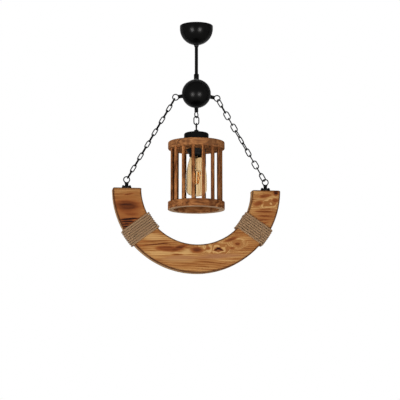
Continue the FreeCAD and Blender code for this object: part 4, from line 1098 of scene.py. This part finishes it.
def spline_points(points):
    """Points along a smooth curve through a route's control points."""
    curve = bpy.data.curves.new("route", "CURVE")
    curve.dimensions = "3D"
    line = curve.splines.new("NURBS")
    line.points.add(len(points) - 1)
    for point, place in zip(line.points, points):
        point.co = (*place, 1)
    line.order_u = 3
    line.use_endpoint_u = True
    line.resolution_u = 12
    mesh = mesh_of(curve)
    places = [vert.co.copy() for vert in mesh.vertices]
    bpy.data.meshes.remove(mesh)
    return places


def even_points(places, step):
    """Points at even steps along a line."""
    kept, rest = [places[0]], 0.0
    for before, after in zip(places, places[1:]):
        run = (after - before).length
        while run > 0 and rest + run >= step:
            share = (step - rest) / run
            before = before.lerp(after, share)
            kept.append(before)
            run = (after - before).length
            rest = 0.0
        rest += run
    return kept


def strand_curve(line, across, step, lay):
    """Three strands laid together along a line, as a curve with a round section."""
    radius, offset = 2.10, 1.39
    curve = bpy.data.curves.new("strands", "CURVE")
    curve.dimensions = "3D"
    curve.bevel_depth = radius * MM
    curve.bevel_resolution = 2
    curve.use_fill_caps = True
    for strand in range(STRANDS):
        spline = curve.splines.new("POLY")
        spline.points.add(len(line) - 1)
        for i, place in enumerate(line):
            ahead = (line[min(i + 1, len(line) - 1)] - line[max(i - 1, 0)]).normalized()
            side_way = ahead.cross(across).normalized()
            up_way = side_way.cross(ahead).normalized()
            angle = tau * (i * step / lay + strand / STRANDS)
            shifted = place + (side_way * cos(angle) + up_way * sin(angle)) * offset
            spline.points[i].co = (*(shifted * MM), 1)
    return curve


def mesh_of(curve):
    """The mesh that a curve makes, and the curve put away."""
    maker = placed("maker", curve)
    bpy.context.view_layer.update()
    made = maker.evaluated_get(bpy.context.evaluated_depsgraph_get())
    mesh = bpy.data.meshes.new_from_object(made)
    bpy.data.objects.remove(maker)
    bpy.data.curves.remove(curve)
    return mesh


def rope_wraps():
    """Each wrap as three strands laid together along one winding."""
    step = 0.95
    for side in SIDES:
        route, across = wrap_route(side)
        line = even_points(spline_points(route), step)
        length = (len(line) - 1) * step + abs(line[-1].y - line[0].y)
        turn_length = length / ROPE_TURNS
        # A whole number of crowns beds each turn into the next
        crowns = round(turn_length * STRANDS / STRAND_LAY)
        lay = turn_length * STRANDS / crowns
        mesh = mesh_of(strand_curve(line, across, step, lay))
        mesh.name = name = f"{side}_rope"
        mesh.shade_smooth()
        settle(mesh, name, "half_ring", JUTE, f"{name}_wrap")


# Studio


def studio():
    """A pale floor, a white surround, soft lamps in front and behind, and two for the glints."""
    scene = bpy.context.scene
    scene.view_settings.view_transform = "Standard"
    world = bpy.data.worlds.new("surround")
    scene.world = world
    world.use_nodes = True
    tree = world.node_tree
    background = tree.nodes["Background"]
    ambient = 0.18
    strength = seen_in_picture(tree) * (1 - ambient) + ambient
    tree.links.new(strength.socket, background.inputs["Strength"])
    background.inputs["Color"].default_value = (1, 1, 1, 1)
    floor()
    for name, place, size, power in (
        ("left_lamp", (-2.45, -3.35, -1.45), (1.3, 1.6), 91),
        ("right_lamp", (1.05, -4.0, -1.45), (1.3, 1.6), 69),
        ("left_back_lamp", (-3.1, 3.0, -0.2), (2.0, 2.0), 80),
        ("right_back_lamp", (3.1, 3.0, -0.2), (2.0, 2.0), 80),
    ):
        lamp(name, place, size, power).visible_glossy = False
    for name, place, size, power in (
        ("left_glint", (-2.6, -3.3, -1.45), (1.1, 1.4), 195),
        ("right_glint", (1.3, -3.95, -1.45), (1.1, 1.4), 195),
    ):
        lamp(name, place, size, power).visible_diffuse = False


def seen_in_picture(tree):
    """1 where the surround is seen, also in metal and through glass, 0 where it only lights."""
    start = Wire(tree)
    seen = start.node("ShaderNodeLightPath", {}, {}, "Is Camera Ray")
    for ray in ("Is Glossy Ray", "Is Transmission Ray"):
        seen = seen.math("MAXIMUM", start.node("ShaderNodeLightPath", {}, {}, ray))
    return seen


def floor():
    """A pale floor far under the lamp, which looks lighter than it lights."""
    half_size, depth = 60, 4.2
    finish = Finish("pale_floor", Specular_IOR_Level=0.0, Emission_Strength=1.0)
    seen = seen_in_picture(finish.tree)
    finish.feed("Emission Color", finish.mix(seen, (0, 0, 0), (0.72, 0.72, 0.72)))
    cloud = finish.noise(0.8, 2)
    base = finish.ramp(cloud, [(0.3, (0.86, 0.86, 0.86)), (0.7, (0.90, 0.90, 0.90))])
    bm = bmesh.new()
    bmesh.ops.create_grid(bm, x_segments=1, y_segments=1, size=half_size)
    bmesh.ops.translate(bm, vec=(0, 0, -depth), verts=bm.verts)
    mesh = mesh_from(bm, "floor")
    mesh.materials.append(finish.done(base, 0.85 + cloud * 0.1))
    made = placed("floor", mesh)
    made.visible_glossy = False  # metal shows the white surround instead


def lamp(name, place, size, power):
    """A soft lamp that faces the middle of the object."""
    light = bpy.data.lights.new(name, "AREA")
    light.shape = "RECTANGLE"
    light.size, light.size_y = size
    light.energy = power
    made = placed(name, light)
    made.location = place
    made.visible_camera = False
    made.visible_transmission = False
    object_middle = Vector((0, 0, -0.4))
    aim = object_middle - Vector(place)
    made.rotation_euler = aim.to_track_quat("-Z", "Y").to_euler()
    return made


def camera():
    """Low and a little to the left of the front, pitched up."""
    frame_px, focal_px, sensor = 400, 1494, 36
    azimuth, distance, height, pitch, axis_px = -7, 4.456, -1.2106, 8.56, 196.3
    turn = radians(azimuth)
    data = bpy.data.cameras.new("camera")
    data.sensor_width = sensor
    data.lens = sensor * focal_px / frame_px
    data.clip_end = 100
    made = placed("camera", data)
    made.location = (distance * sin(turn), -distance * cos(turn), height)
    yaw = turn - atan((frame_px / 2 - axis_px) / focal_px)
    made.rotation_euler = (radians(90 + pitch), 0, yaw)
    bpy.context.scene.camera = made


camera()
dome()
stem()
ball()
hub_eyes()
chains()
cap()
cage()
holder()
bulb()
half_ring()
end_fittings()
rope_wraps()
paint(ENAMEL, "ceiling_bracket")
paint(STEEL, "stem_nuts", "hub_eye_nuts", "terminal_screws", "collar_grub_screw", "cap_lock_nut")
paint(CERAMIC, "terminal_block", "holder_insert")
paint(BRASS, "holder_screw_shell", "holder_contact", "bulb_cap", "bulb_contact_tip")
studio()
